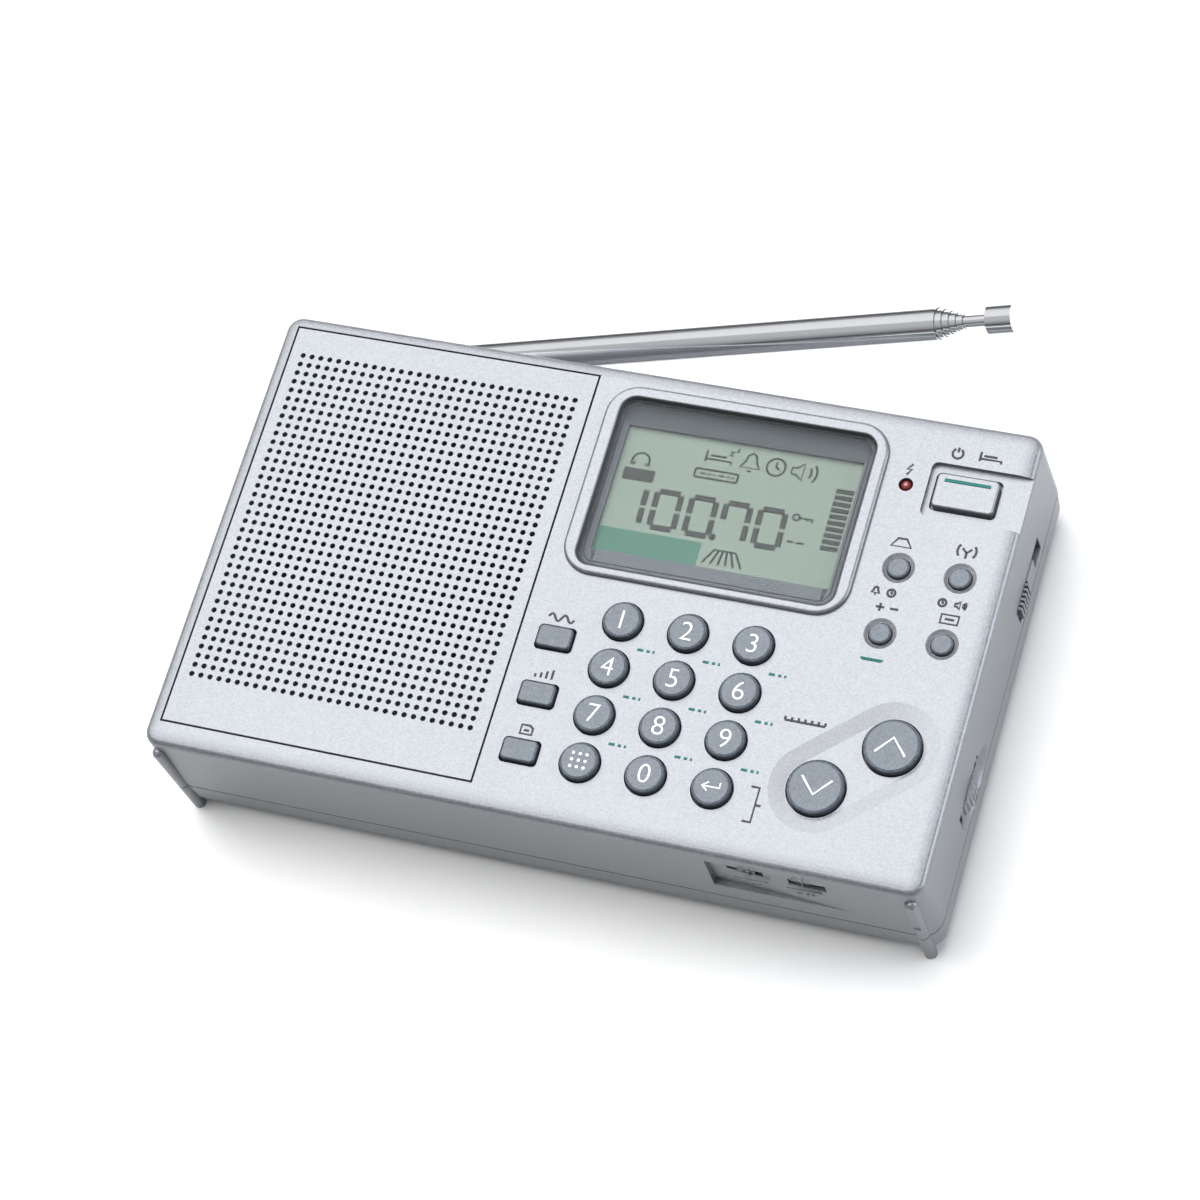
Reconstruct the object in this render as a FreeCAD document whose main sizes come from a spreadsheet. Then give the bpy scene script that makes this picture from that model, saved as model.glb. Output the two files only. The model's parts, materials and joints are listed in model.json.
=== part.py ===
"""Compact world-band tabletop radio, lying on its back with the antenna swung out.

Case frame: +X to the radio's right, +Y to its top side, +Z out of its face.  Z = 0 is
the surface it lies on, X = Y = 0 the middle of the case.  Every sub-part is then placed
at Y = case_y, which brings the middle of the whole outline to the origin.
Lengths are millimetres, angles degrees.
"""
import FreeCAD, Part
import math
import os
import re
import Sketcher

V = FreeCAD.Vector

DIMS = {
    # casing
    "case_y": -9.15, "face_len": 145.0, "face_wid": 87.8, "draft": 0.7, "corner_rad": 2.9, "wall": 1.8,
    "back_in": 0.3,
    "back_level": 2.3, "back_inner": 3.9, "seam_level": 9.9, "seam_gap": 0.3, "lip_top": 11.6,
    "lip_step": 8.2, "roof_level": 26.2, "crown_level": 27.8, "face_level": 28.4,
    "crown_in": 2.3, "edge_rad": 1.3, "face_round": 7.0, "back_rad": 2.0,
    "fit_gap": 0.1, "lip_wide": 1.0,
    # corner ribs, feet and case screws
    "rib_x": 70.2, "rib_y": 44.1, "rib_rad": 1.2, "rib_top": 24.0,
    "foot_x": 58.0, "foot_y": 38.6, "foot_rad": 2.6,
    "screw_x": 66.5, "screw_y": 37.5, "boss_rad": 2.8, "screw_rad": 1.1, "head_rad": 2.1,
    # speaker grille
    "grille_x": -40.0, "grille_y": 1.06, "grille_len": 60.3, "grille_wid": 81.2,
    "grille_floor": 26.8, "grille_seat": 27.1, "groove_wide": 0.4, "hole_rad": 0.515,
    "hole_cols": 31.0, "hole_rows": 37.0, "pitch_x": 1.8, "pitch_y": 1.818,
    "holes_x": -40.23, "holes_y": 3.09,
    # loudspeaker
    "spk_x": -37.5, "spk_y": 1.8, "spk_open": 26.0, "spk_flange": 31.0,
    # display
    "lcd_x": 19.87, "lcd_y": 21.3, "lcd_len": 48.25, "lcd_wid": 33.9, "lcd_rad": 3.0,
    "rim_x": 19.75, "rim_y": 21.6, "rim_len": 53.3, "rim_wid": 37.8, "rim_rad": 6.0,
    "rim_level": 29.3, "window_x": 19.85, "window_y": 20.95, "window_len": 44.3,
    "window_wid": 25.0, "lens_low": 27.3, "lens_top": 28.3,
    # push buttons: hole clearance, flange under the face, and travel to the switch
    "cap_gap": 0.35, "flange_low": 25.3, "flange_top": 26.0, "flange_wide": 0.5,
    "key_x": 8.05, "key_y": -4.9, "key_dx": 12.1, "key_dy": 9.07, "key_rad": 3.5,
    "key_top": 29.6, "side_x": -3.1, "side_y": -10.3, "side_dy": 10.93, "side_len": 6.4,
    "side_wid": 4.2, "side_rad": 0.9, "side_top": 29.4, "small_x": 53.4, "small_dx": 11.1,
    "small_y": 14.3, "small_dy": 12.7, "small_rad": 2.0, "small_top": 28.8, "cup_rad": 2.95,
    "cup_low": 28.05, "up_x": 60.85, "up_y": -18.5, "down_x": 49.8, "down_y": -28.3,
    "tune_rad": 5.0, "tune_top": 29.0, "dish_rad": 8.3, "dish_deep": 0.6,
    "power_x": 61.4, "power_y": 30.3, "power_len": 11.2, "power_wid": 6.6, "power_top": 28.6,
    "shelf_left": 54.3, "shelf_low": 24.9, "shelf_high": 35.5, "shelf_level": 27.4,
    "led_x": 50.6, "led_y": 30.2, "led_rad": 1.0, "led_top": 28.5,
    # side and bottom controls
    "wheel_x": 66.9, "wheel_y": -19.1, "wheel_rad": 7.0, "wheel_low": 13.1, "wheel_top": 16.9,
    "wheel_teeth": 44.0, "slot_y": -19.1, "slot_len": 12.4, "tone_low_y": 14.8,
    "tone_high_y": 29.9, "tone_low": 11.9, "tone_top": 16.1, "tone_knob": 10.2,
    "tray_left": 33.3, "tray_right": 59.0, "tray_low": 14.7, "tray_top": 25.0,
    "switch_low": 21.8, "switch_top": 24.2, "switch_slot": 6.8, "lock_x": 40.2,
    "stereo_x": 51.6, "switch_knob": 2.4,
    # boards, cells and jacks
    "board_low": 21.4, "board_top": 23.0, "board_left": -5.6, "board_right": 69.6,
    "board_front": -35.6, "board_rear": 41.0, "cell_rad": 7.1, "cell_len": 49.5,
    "cell_pitch": 14.7, "cell_y": -31.25, "cell_x": 4.4, "cell_level": 11.8, "nub_len": 1.1,
    "bay_left": 1.2, "bay_right": 58.0, "bay_front": -38.9, "bay_rear": 20.7, "bay_top": 19.3,
    "bay_wall": 1.1, "door_edge": 1.6, "door_skin": 3.3, "jack_level": 15.0,
    "phone_y": -18.0, "phone_rad": 1.78, "mains_y": -28.0, "mains_rad": 2.75,
    # kickstand
    "stand_x": -37.0, "stand_len": 50.0, "stand_hinge": 20.0, "stand_foot": -13.0,
    "stand_axis": 3.45, "stand_pin": 0.6, "stand_low": 2.5, "stand_high": 4.2,
    "pocket_level": 4.6,
    # telescopic antenna
    "ant_x": -53.6, "ant_y": 48.4, "ant_z": 6.4, "ant_swing": 15.0, "ant_lift": 5.86,
    "tube_dia": 6.3, "tube_step": 0.8, "tube_wall": 0.28, "tube_start": 4.2, "tube_end": 108.0,
    "ring_step": 1.2, "rod_end": 117.8, "tip_start": 117.6, "tip_end": 122.5, "tip_dia": 5.5,
    "shaft_rad": 1.5, "disc_rad": 3.3, "clip_rad": 2.2, "fork_in": 1.6, "fork_out": 3.3, "fork_rad": 2.6,
    "pin_rad": 0.75,
}

doc = FreeCAD.newDocument("TabletopRadio")
sheet = doc.addObject("Spreadsheet::Sheet", "Dims")
SUBPARTS = []


def fill_sheet():
    """One row per driving dimension: its name, its value and an alias."""
    for row, (alias, value) in enumerate(DIMS.items(), start=1):
        sheet.set(f"A{row}", alias)
        sheet.set(f"B{row}", str(value))
        sheet.setAlias(f"B{row}", alias)
    doc.recompute()


def dim(alias):
    """The sheet's own value of a dimension."""
    return float(sheet.get(alias))


def formula(text):
    """An expression on the sheet from plain dimension names."""
    return re.sub(r"[a-z][a-z_]*[a-z]", lambda m: "Dims." + m.group() if m.group() in DIMS
                  else m.group(), str(text))


def bind(thing, **places):
    """Binds properties to the sheet; a double underscore stands for a dot."""
    for name, text in places.items():
        thing.setExpression(name.replace("__", "."), formula(text))
    return thing


def subpart(shape, label):
    """Makes an object a sub-part: its label is its node, and it moves to the part frame."""
    shape.Label = label
    own = {path.lstrip("."): text for path, text in shape.ExpressionEngine}
    start = own.get("Placement.Base.y", "0")
    shape.setExpression("Placement.Base.y", f"({start}) + Dims.case_y")
    SUBPARTS.append(shape)
    return shape


# ---- primitives and booleans -------------------------------------------------------------

def block(name, left, right, front, rear, low, top):
    box = doc.addObject("Part::Box", name)
    return bind(box, Length=f"({right}) - ({left})", Width=f"({rear}) - ({front})",
                Height=f"({top}) - ({low})", Placement__Base__x=left,
                Placement__Base__y=front, Placement__Base__z=low)


def post(name, mid_x, mid_y, radius, low, top):
    """A cylinder along Z."""
    rod = doc.addObject("Part::Cylinder", name)
    return bind(rod, Radius=radius, Height=f"({top}) - ({low})", Placement__Base__x=mid_x,
                Placement__Base__y=mid_y, Placement__Base__z=low)


def bar(name, axis, start, mid_a, mid_b, radius, length):
    """A cylinder along X or Y; mid_a and mid_b are its centre in the other two."""
    rod = doc.addObject("Part::Cylinder", name)
    if axis == "x":
        rod.Placement.Rotation = FreeCAD.Rotation(V(0, 1, 0), 90)
        places = (start, mid_a, mid_b)
    else:
        rod.Placement.Rotation = FreeCAD.Rotation(V(1, 0, 0), -90)
        places = (mid_a, start, mid_b)
    return bind(rod, Radius=radius, Height=length, Placement__Base__x=places[0],
                Placement__Base__y=places[1], Placement__Base__z=places[2])


def cone(name, mid_x, mid_y, low_radius, top_radius, low, top):
    shape = doc.addObject("Part::Cone", name)
    return bind(shape, Radius1=low_radius, Radius2=top_radius, Height=f"({top}) - ({low})",
                Placement__Base__x=mid_x, Placement__Base__y=mid_y, Placement__Base__z=low)


def joined(name, *shapes):
    fuse = doc.addObject("Part::MultiFuse", name)
    fuse.Shapes = list(shapes)
    return fuse


def less(name, base, *tools):
    cut = doc.addObject("Part::Cut", name)
    cut.Base = base
    cut.Tool = tools[0] if len(tools) == 1 else joined(name + "_tools", *tools)
    return cut


def group(name, *shapes):
    """Separate solids that share one node."""
    pack = doc.addObject("Part::Compound", name)
    pack.Links = list(shapes)
    return pack


# ---- sketched bodies ---------------------------------------------------------------------

def new_body(name):
    return doc.addObject("PartDesign::Body", name)


def plane_of(body, role):
    return next(item for item in body.Origin.OriginFeatures if item.Role == role)


def sketch_on(body, name, level, role="XY_Plane"):
    sketch = body.newObject("Sketcher::SketchObject", name)
    sketch.AttachmentSupport = [(plane_of(body, role), "")]
    sketch.MapMode = "FlatFace"
    bind(sketch, AttachmentOffset__Base__z=level)
    return sketch


def measure(sketch, name, constraint, text):
    """Adds a named constraint and drives it from the sheet."""
    sketch.addConstraint(constraint)
    sketch.renameConstraint(len(sketch.Constraints) - 1, name)
    sketch.setExpression("Constraints." + name, formula(text))


def rounded_rect(body, name, level, mid_x, mid_y, length, width, radius):
    """A rectangle with round corners on a level plane, fully driven by the sheet."""
    sketch = sketch_on(body, name, level)
    value = {key: float(eval_dim(text)) for key, text in
             (("x", mid_x), ("y", mid_y), ("l", length), ("w", width), ("r", radius))}
    half_l, half_w, rad = value["l"] / 2, value["w"] / 2, value["r"]
    centres = [(1, 1), (-1, 1), (-1, -1), (1, -1)]
    arcs = []
    for quarter, (side_x, side_y) in enumerate(centres):
        middle = V(value["x"] + side_x * (half_l - rad), value["y"] + side_y * (half_w - rad), 0)
        circle = Part.Circle(middle, V(0, 0, 1), rad)
        start = quarter * math.pi / 2
        arcs.append(sketch.addGeometry(Part.ArcOfCircle(circle, start, start + math.pi / 2)))
    lines = []
    for quarter in range(4):
        tail = sketch.Geometry[arcs[quarter]].EndPoint
        head = sketch.Geometry[arcs[(quarter + 1) % 4]].StartPoint
        lines.append(sketch.addGeometry(Part.LineSegment(tail, head)))
    for quarter in range(4):
        after = arcs[(quarter + 1) % 4]
        sketch.addConstraint(Sketcher.Constraint("Tangent", arcs[quarter], 2, lines[quarter], 1))
        sketch.addConstraint(Sketcher.Constraint("Tangent", lines[quarter], 2, after, 1))
    for quarter in range(3):
        sketch.addConstraint(Sketcher.Constraint("Equal", arcs[quarter], arcs[quarter + 1]))
    for quarter, kind in ((0, "Horizontal"), (1, "Vertical")):
        sketch.addConstraint(Sketcher.Constraint(kind, lines[quarter]))
    measure(sketch, "radius", Sketcher.Constraint("Radius", arcs[0], rad), radius)
    spans = (("right", "DistanceX", 3, f"({mid_x}) + ({length})/2"),
             ("left", "DistanceX", 1, f"({mid_x}) - ({length})/2"),
             ("rear", "DistanceY", 0, f"({mid_y}) + ({width})/2"),
             ("front", "DistanceY", 2, f"({mid_y}) - ({width})/2"))
    for label, kind, line, text in spans:
        here = float(eval_dim(text))
        measure(sketch, label, Sketcher.Constraint(kind, -1, 1, lines[line], 1, here), text)
    return sketch


def eval_dim(text):
    """The value of a formula now, to start a sketch near its solved shape."""
    return sheet.evalExpression(formula(text))


def circle_on(body, name, level, mid_x, mid_y, radius, role="XY_Plane"):
    sketch = sketch_on(body, name, level, role)
    here = V(eval_dim(mid_x), eval_dim(mid_y), 0)
    ring = sketch.addGeometry(Part.Circle(here, V(0, 0, 1), eval_dim(radius)))
    measure(sketch, "radius", Sketcher.Constraint("Radius", ring, eval_dim(radius)), radius)
    measure(sketch, "across", Sketcher.Constraint("DistanceX", -1, 1, ring, 3, here.x), mid_x)
    measure(sketch, "along", Sketcher.Constraint("DistanceY", -1, 1, ring, 3, here.y), mid_y)
    return sketch


def pad(body, sketch, length, down=False, taper=None):
    feature = body.newObject("PartDesign::Pad", sketch.Name + "_pad")
    feature.Profile = sketch
    feature.Reversed = down
    bind(feature, Length=length)
    if taper:
        bind(feature, TaperAngle=taper)
    return feature


def pocket(body, sketch, length, up=False, taper=None):
    feature = body.newObject("PartDesign::Pocket", sketch.Name + "_cut")
    feature.Profile = sketch
    feature.Reversed = up
    bind(feature, Length=length)
    if taper:
        bind(feature, TaperAngle=taper)
    return feature


def edges_where(feature, test):
    """The names of a feature's edges whose centre of mass and length pass a test."""
    doc.recompute()
    picked = []
    for number, edge in enumerate(feature.Shape.Edges, start=1):
        if test(edge.CenterOfMass, edge.BoundBox):
            picked.append(f"Edge{number}")
    return picked


def rounded_edges(body, name, feature, test, radius):
    fillet = body.newObject("PartDesign::Fillet", name)
    fillet.Base = (feature, edges_where(feature, test))
    return bind(fillet, Radius=radius)


def turned(name, profile, centre=("0", "0", "0")):
    """A body of revolution about Z: profile lists (radius, level) corners as formulas."""
    body = new_body(name)
    sketch = sketch_on(body, name + "_half", "0", "XZ_Plane")
    corners = [(eval_dim(radius), eval_dim(level)) for radius, level in profile]
    count = len(corners)
    lines = []
    for index, corner in enumerate(corners):
        following = corners[(index + 1) % count]
        lines.append(sketch.addGeometry(Part.LineSegment(V(*corner, 0), V(*following, 0))))
    for index in range(count):
        after = lines[(index + 1) % count]
        sketch.addConstraint(Sketcher.Constraint("Coincident", lines[index], 2, after, 1))
    for index, (radius, level) in enumerate(profile):
        here = corners[index]
        if here[0] == 0.0:
            sketch.addConstraint(Sketcher.Constraint("PointOnObject", lines[index], 1, -2))
        else:
            measure(sketch, f"rad{index}",
                    Sketcher.Constraint("DistanceX", -1, 1, lines[index], 1, here[0]), radius)
        measure(sketch, f"lev{index}",
                Sketcher.Constraint("DistanceY", -1, 1, lines[index], 1, here[1]), level)
    spin = body.newObject("PartDesign::Revolution", name + "_turn")
    spin.Profile = sketch
    spin.ReferenceAxis = (sketch, ["V_Axis"])
    spin.Angle = 360.0
    bind(body, Placement__Base__x=centre[0], Placement__Base__y=centre[1],
         Placement__Base__z=centre[2])
    return body


# ---- casing ------------------------------------------------------------------------------

KEY_COLUMNS = ("key_x", "key_x + key_dx", "key_x + 2*key_dx")
KEY_ROWS = ("key_y", "key_y - key_dy", "key_y - 2*key_dy", "key_y - 3*key_dy")
KEY_NAMES = (("key_1", "key_2", "key_3"), ("key_4", "key_5", "key_6"),
             ("key_7", "key_8", "key_9"), ("key_memory", "key_0", "key_enter"))
KEYS = [(name, column, row) for names, row in zip(KEY_NAMES, KEY_ROWS)
        for name, column in zip(names, KEY_COLUMNS)]
SIDE_BUTTONS = (("band_button", "side_y"), ("meter_button", "side_y - side_dy"),
                ("page_button", "side_y - 2*side_dy"))
SMALL_BUTTONS = (("bandwidth_button", "small_x", "small_y"),
                 ("distance_button", "small_x + small_dx", "small_y"),
                 ("fine_button", "small_x", "small_y - small_dy"),
                 ("display_button", "small_x + small_dx", "small_y - small_dy"))
TUNE_BUTTONS = (("tune_up_button", "up_x", "up_y"), ("tune_down_button", "down_x", "down_y"))
CORNERS = ((-1, -1), (1, -1), (1, 1), (-1, 1))
SIDES = (-1, 1)
THROUGH = "face_level + 5"


def draft_angle(height):
    return f"atan(draft / ({height}))"


def stadium(body, name, level, radius):
    """A long round hollow round both tuning buttons."""
    sketch = sketch_on(body, name, level)
    first = V(eval_dim("up_x"), eval_dim("up_y"), 0)
    second = V(eval_dim("down_x"), eval_dim("down_y"), 0)
    across = V(second.x - first.x, second.y - first.y, 0)
    heading = math.atan2(across.y, across.x)
    size = eval_dim(radius)
    arcs = []
    for middle, start in ((first, heading + math.pi / 2), (second, heading - math.pi / 2)):
        circle = Part.Circle(middle, V(0, 0, 1), size)
        arcs.append(sketch.addGeometry(Part.ArcOfCircle(circle, start, start + math.pi)))
    for index in range(2):
        tail = sketch.Geometry[arcs[index]].EndPoint
        head = sketch.Geometry[arcs[1 - index]].StartPoint
        line = sketch.addGeometry(Part.LineSegment(tail, head))
        sketch.addConstraint(Sketcher.Constraint("Tangent", arcs[index], 2, line, 1))
        sketch.addConstraint(Sketcher.Constraint("Tangent", line, 2, arcs[1 - index], 1))
    measure(sketch, "radius", Sketcher.Constraint("Radius", arcs[0], size), radius)
    for arc, middle, stem in ((arcs[0], first, "up"), (arcs[1], second, "down")):
        for kind, letter, here in (("DistanceX", "x", middle.x), ("DistanceY", "y", middle.y)):
            measure(sketch, stem + letter, Sketcher.Constraint(kind, -1, 1, arc, 3, here),
                    f"{stem}_{letter}")
    return sketch


def front_shell():
    """The moulded front: drafted walls, a crowned face, a raised rim round the display."""
    body = new_body("front_shell")
    outline = ("0", "0", "face_len", "face_wid", "corner_rad")
    depth = "crown_level - seam_level - seam_gap/2"
    walls = rounded_rect(body, "front_walls", "crown_level", *outline)
    pad(body, walls, depth, down=True, taper=draft_angle("crown_level - seam_level"))
    crown = rounded_rect(body, "front_crown", "crown_level", *outline)
    rise = "face_level - crown_level"
    face = pad(body, crown, rise, taper=f"-atan(crown_in / ({rise}))")
    level = dim("crown_level")
    rounded_edges(body, "front_edge", face, lambda mid, box: abs(mid.z - level) < 0.01
                  and box.ZLength < 0.01, "edge_rad")
    crest = dim("face_level")
    rounded_edges(body, "face_edge", body.Tip, lambda mid, box: abs(mid.z - crest) < 0.01
                  and box.ZLength < 0.01, "face_round")
    cavity = rounded_rect(body, "front_cavity", "seam_level", "0", "0", "face_len - 2*wall",
                          "face_wid - 2*wall", "corner_rad - wall/2")
    pocket(body, cavity, "roof_level - seam_level", up=True)
    rim = rounded_rect(body, "display_rim", "crown_level", "rim_x", "rim_y", "rim_len",
                       "rim_wid", "rim_rad")
    raised = pad(body, rim, "rim_level - crown_level")
    top = dim("rim_level")
    rounded_edges(body, "rim_round", raised, lambda mid, box: abs(mid.z - top) < 0.01,
                  "rim_level - face_level - 0.15")
    opening = rounded_rect(body, "display_opening", THROUGH, "lcd_x", "lcd_y", "lcd_len",
                           "lcd_wid", "lcd_rad")
    cut = pocket(body, opening, f"{THROUGH} - roof_level + 1")
    reach_x = dim("lcd_x") + dim("lcd_len") / 2 + 0.01
    reach_y = dim("lcd_y") + dim("lcd_wid") / 2 + 0.01
    start_x = 2 * dim("lcd_x") - reach_x
    start_y = 2 * dim("lcd_y") - reach_y
    rounded_edges(body, "rim_inside", cut, lambda mid, box: abs(mid.z - top) < 0.01
                  and box.XMin > start_x and box.XMax < reach_x
                  and box.YMin > start_y and box.YMax < reach_y, "0.3")
    shelf_right = "face_len/2 + 6"
    shelf = rounded_rect(body, "power_shelf", THROUGH, f"(shelf_left + {shelf_right})/2",
                         "(shelf_low + shelf_high)/2", f"{shelf_right} - shelf_left",
                         "shelf_high - shelf_low", "1.2")
    pocket(body, shelf, f"{THROUGH} - shelf_level")
    power = rounded_rect(body, "power_slot", THROUGH, "power_x", "power_y",
                         "power_len + 2*cap_gap + 0.2", "power_wid + 2*cap_gap + 0.2", "1.0")
    pocket(body, power, f"{THROUGH} - roof_level + 1")
    for name, row in SIDE_BUTTONS:
        slot = rounded_rect(body, name + "_slot", THROUGH, "side_x", row,
                            "side_len + 2*cap_gap", "side_wid + 2*cap_gap", "side_rad")
        pocket(body, slot, f"{THROUGH} - roof_level + 1")
    dish = stadium(body, "tuning_dish", "face_level", "dish_rad")
    pocket(body, dish, "dish_deep", taper="-78")
    return body


def corner_ribs(low, top, round_end):
    """Half-round ribs that stand proud of the bottom side near both corners."""
    pieces = []
    for side in SIDES:
        middle = (f"{side}*rib_x", "-rib_y")
        pieces.append(post("rib", *middle, "rib_rad", low, top))
        if round_end:
            ball = doc.addObject("Part::Sphere", "rib_end")
            pieces.append(bind(ball, Radius="rib_rad", Placement__Base__x=middle[0],
                               Placement__Base__y=middle[1], Placement__Base__z=top))
    return pieces


def face_holes():
    """Round holes for keys, small buttons, tuning buttons and the charge light."""
    low = "roof_level - 1"
    holes = [post("key_hole", column, row, "key_rad + cap_gap", low, THROUGH)
             for _, column, row in KEYS]
    for _, column, row in SMALL_BUTTONS:
        holes.append(post("small_hole", column, row, "small_rad + 0.2", low, THROUGH))
        holes.append(cone("small_cup", column, row, "small_rad + 0.25", "cup_rad + 0.15",
                          "cup_low", "face_level + 0.1"))
    for _, column, row in TUNE_BUTTONS:
        holes.append(post("tune_hole", column, row, "tune_rad + cap_gap", low, THROUGH))
    holes.append(post("led_hole", "led_x", "led_y", "led_rad + 0.3", low, THROUGH))
    return holes


def right_cuts():
    """The hollow and slot of the thumbwheel, and the slot of the tone control."""
    wall_in = "face_len/2 - wall - 1"
    scoop = doc.addObject("Part::Ellipsoid", "wheel_scoop")
    bind(scoop, Radius1="4.0", Radius2="3.0", Radius3="9.8",
         Placement__Base__x="face_len/2 + 2.2", Placement__Base__y="slot_y + 1.5",
         Placement__Base__z="13.4")
    wheel = block("wheel_slot", wall_in, "face_len/2 + 5", "slot_y - slot_len/2",
                  "slot_y + slot_len/2", "wheel_low - 0.4", "wheel_top + 0.5")
    tone = block("tone_slot", wall_in, "face_len/2 + 5", "tone_low_y", "tone_high_y",
                 "tone_low", "tone_top")
    return [scoop, wheel, tone]


def bottom_cuts():
    """A shallow tray that runs out to the right, and the slots of its two switches."""
    tray = block("switch_tray", "tray_left", "tray_right + 20", "-face_wid/2 - 3",
                 "-face_wid/2 + 0.75", "tray_low", "tray_top")
    tray.Placement.Rotation = FreeCAD.Rotation(V(0, 0, 1), -2.9)
    slots = [block("switch_slot_cut", f"{mid} - switch_slot/2", f"{mid} + switch_slot/2",
                   "-face_wid/2 - 3", "-face_wid/2 + wall + 1", "switch_low", "switch_top")
             for mid in ("lock_x", "stereo_x")]
    return [tray, *slots]


def jack_cuts():
    return [bar("jack_hole", "x", "-face_len/2 - 3", mid, "jack_level", radius, "wall + 4")
            for mid, radius in (("phone_y", "phone_rad + 1.0"), ("mains_y", "mains_rad + 0.7"))]


def make_front_case():
    shell = front_shell()
    bosses = [post("boss", f"{a}*screw_x", f"{b}*screw_y", "boss_rad", "seam_level + 2.4",
                   "roof_level + 0.5") for a, b in CORNERS]
    ribs = corner_ribs("seam_level + seam_gap/2", "rib_top", True)
    solid = joined("front_solid", shell, *ribs, *bosses)
    seat = block("grille_recess", "grille_x - grille_len/2", "grille_x + grille_len/2",
                 "grille_y - grille_wid/2", "grille_y + grille_wid/2", "grille_floor", THROUGH)
    opening = post("speaker_opening", "spk_x", "spk_y", "spk_open", "roof_level - 1", THROUGH)
    pilots = [post("pilot", f"{a}*screw_x", f"{b}*screw_y", "screw_rad", "seam_level",
                   "roof_level - 3") for a, b in CORNERS]
    pierced = less("front_pierced", solid, seat, opening, *pilots, *face_holes())
    for number, tool in enumerate(right_cuts() + bottom_cuts() + jack_cuts()):
        pierced = less(f"front_carved_{number}", pierced, tool)
    subpart(pierced, "front_case")


def rear_shell():
    """The moulded back: low walls, rounded back edges, and a lip that enters the front."""
    body = new_body("rear_shell")
    grow = "face_len + 2*draft"
    width = "face_wid + 2*draft"
    height = "seam_level - seam_gap/2 - back_level"
    walls = rounded_rect(body, "rear_walls", "seam_level - seam_gap/2", "0", "0", grow, width,
                         "corner_rad + draft")
    shell = pad(body, walls, height, down=True, taper=f"-atan(back_in / ({height}))")
    low = dim("back_level")
    rounded_edges(body, "rear_edge", shell, lambda mid, box: abs(mid.z - low) < 0.01
                  and box.ZLength < 0.01, "back_rad")
    room = rounded_rect(body, "rear_room", "seam_level", "0", "0", "face_len - 2*wall",
                        "face_wid - 2*wall", "corner_rad - wall/2")
    pocket(body, room, "seam_level - back_inner")
    step = ("0", "0", "face_len - 2*wall - 2*fit_gap", "face_wid - 2*wall - 2*fit_gap",
            "corner_rad - wall/2 - fit_gap")
    lip = rounded_rect(body, "rear_lip", "lip_step", *step)
    pad(body, lip, "lip_top - lip_step")
    hollow = rounded_rect(body, "rear_hollow", "lip_top", "0", "0",
                          "face_len - 2*wall - 2*fit_gap - 2*lip_wide",
                          "face_wid - 2*wall - 2*fit_gap - 2*lip_wide",
                          "corner_rad - wall/2 - fit_gap")
    pocket(body, hollow, "lip_top - back_inner")
    return body


def make_rear_case():
    shell = rear_shell()
    join_rim = rear_rim_filler()
    feet = [post("foot", f"{side}*foot_x", "foot_y", "foot_rad", "0", "back_level + 1")
            for side in SIDES]
    ribs = corner_ribs("0", "seam_level - seam_gap/2", False)
    posts = [post("screw_post", f"{a}*screw_x", f"{b}*screw_y", "boss_rad", "back_inner - 1",
                  "seam_level + 2.2") for a, b in CORNERS]
    bay = block("bay_outside", "bay_left - bay_wall", "bay_right + bay_wall",
                "bay_front - bay_wall", "bay_rear + bay_wall", "back_inner - 0.5",
                "bay_top + bay_wall")
    bump = block("stand_bump", "stand_x - stand_len/2 - 2", "stand_x + stand_len/2 + 2",
                 "stand_foot - 3", "stand_hinge + 4", "back_inner - 0.5",
                 "pocket_level + 1.2")
    solid = joined("rear_solid", shell, join_rim, bay, bump, *posts, *feet, *ribs)
    tools = rear_cuts()
    subpart(less("rear_case_shape", solid, *tools), "rear_case")


def rear_rim_filler():
    """The ledge that ties the lip to the wall, between the lip's foot and the seam."""
    body = new_body("rear_ledge")
    outer = rounded_rect(body, "ledge_outer", "lip_step", "0", "0", "face_len - wall",
                         "face_wid - wall", "corner_rad")
    pad(body, outer, "seam_level - seam_gap/2 - lip_step")
    inner = rounded_rect(body, "ledge_inner", "seam_level", "0", "0",
                         "face_len - 2*wall - 2*fit_gap - 2*lip_wide",
                         "face_wid - 2*wall - 2*fit_gap - 2*lip_wide",
                         "corner_rad - wall/2 - fit_gap")
    pocket(body, inner, "seam_level - lip_step + 1")
    return body


def rear_cuts():
    cuts = [block("bay_inside", "bay_left", "bay_right", "bay_front", "bay_rear",
                  "back_level - 1", "bay_top"),
            block("door_seat", "bay_left - door_edge", "bay_right + door_edge",
                  "bay_front - door_edge + 0.4", "bay_rear + door_edge", "back_level - 1",
                  "door_skin"),
            block("stand_pocket", "stand_x - stand_len/2 - 0.3", "stand_x + stand_len/2 + 0.3",
                  "stand_foot - 0.4", "stand_hinge + 1.6", "back_level - 1", "pocket_level"),
            block("finger_notch", "stand_x - 7", "stand_x + 7", "stand_foot - 2.6",
                  "stand_foot + 1", "back_level - 1", "back_inner + 0.3"),
            bar("stand_socket", "x", "stand_x - stand_len/2 - 1.5", "stand_hinge",
                "stand_axis", "stand_pin + 0.06", "stand_len + 3"),
            bar("swivel_hole", "y", "face_wid/2 - wall - 3", "ant_x", "ant_z",
                "shaft_rad + 0.06", "wall + 7"),
            block("clip_notch", "ant_x - clip_rad - 0.6", "ant_x + clip_rad + 0.6",
                  "face_wid/2 - wall - 2", "face_wid/2 - wall", "lip_step - 0.5",
                  "lip_top + 1")]
    for a, b in CORNERS:
        place = (f"{a}*screw_x", f"{b}*screw_y")
        cuts.append(post("screw_way", *place, "screw_rad + 0.15", "back_level - 1",
                         "seam_level + 3"))
        cuts.append(post("head_way", *place, "head_rad + 0.2", "back_level - 1",
                         "back_level + 2.4"))
    return cuts


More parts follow.
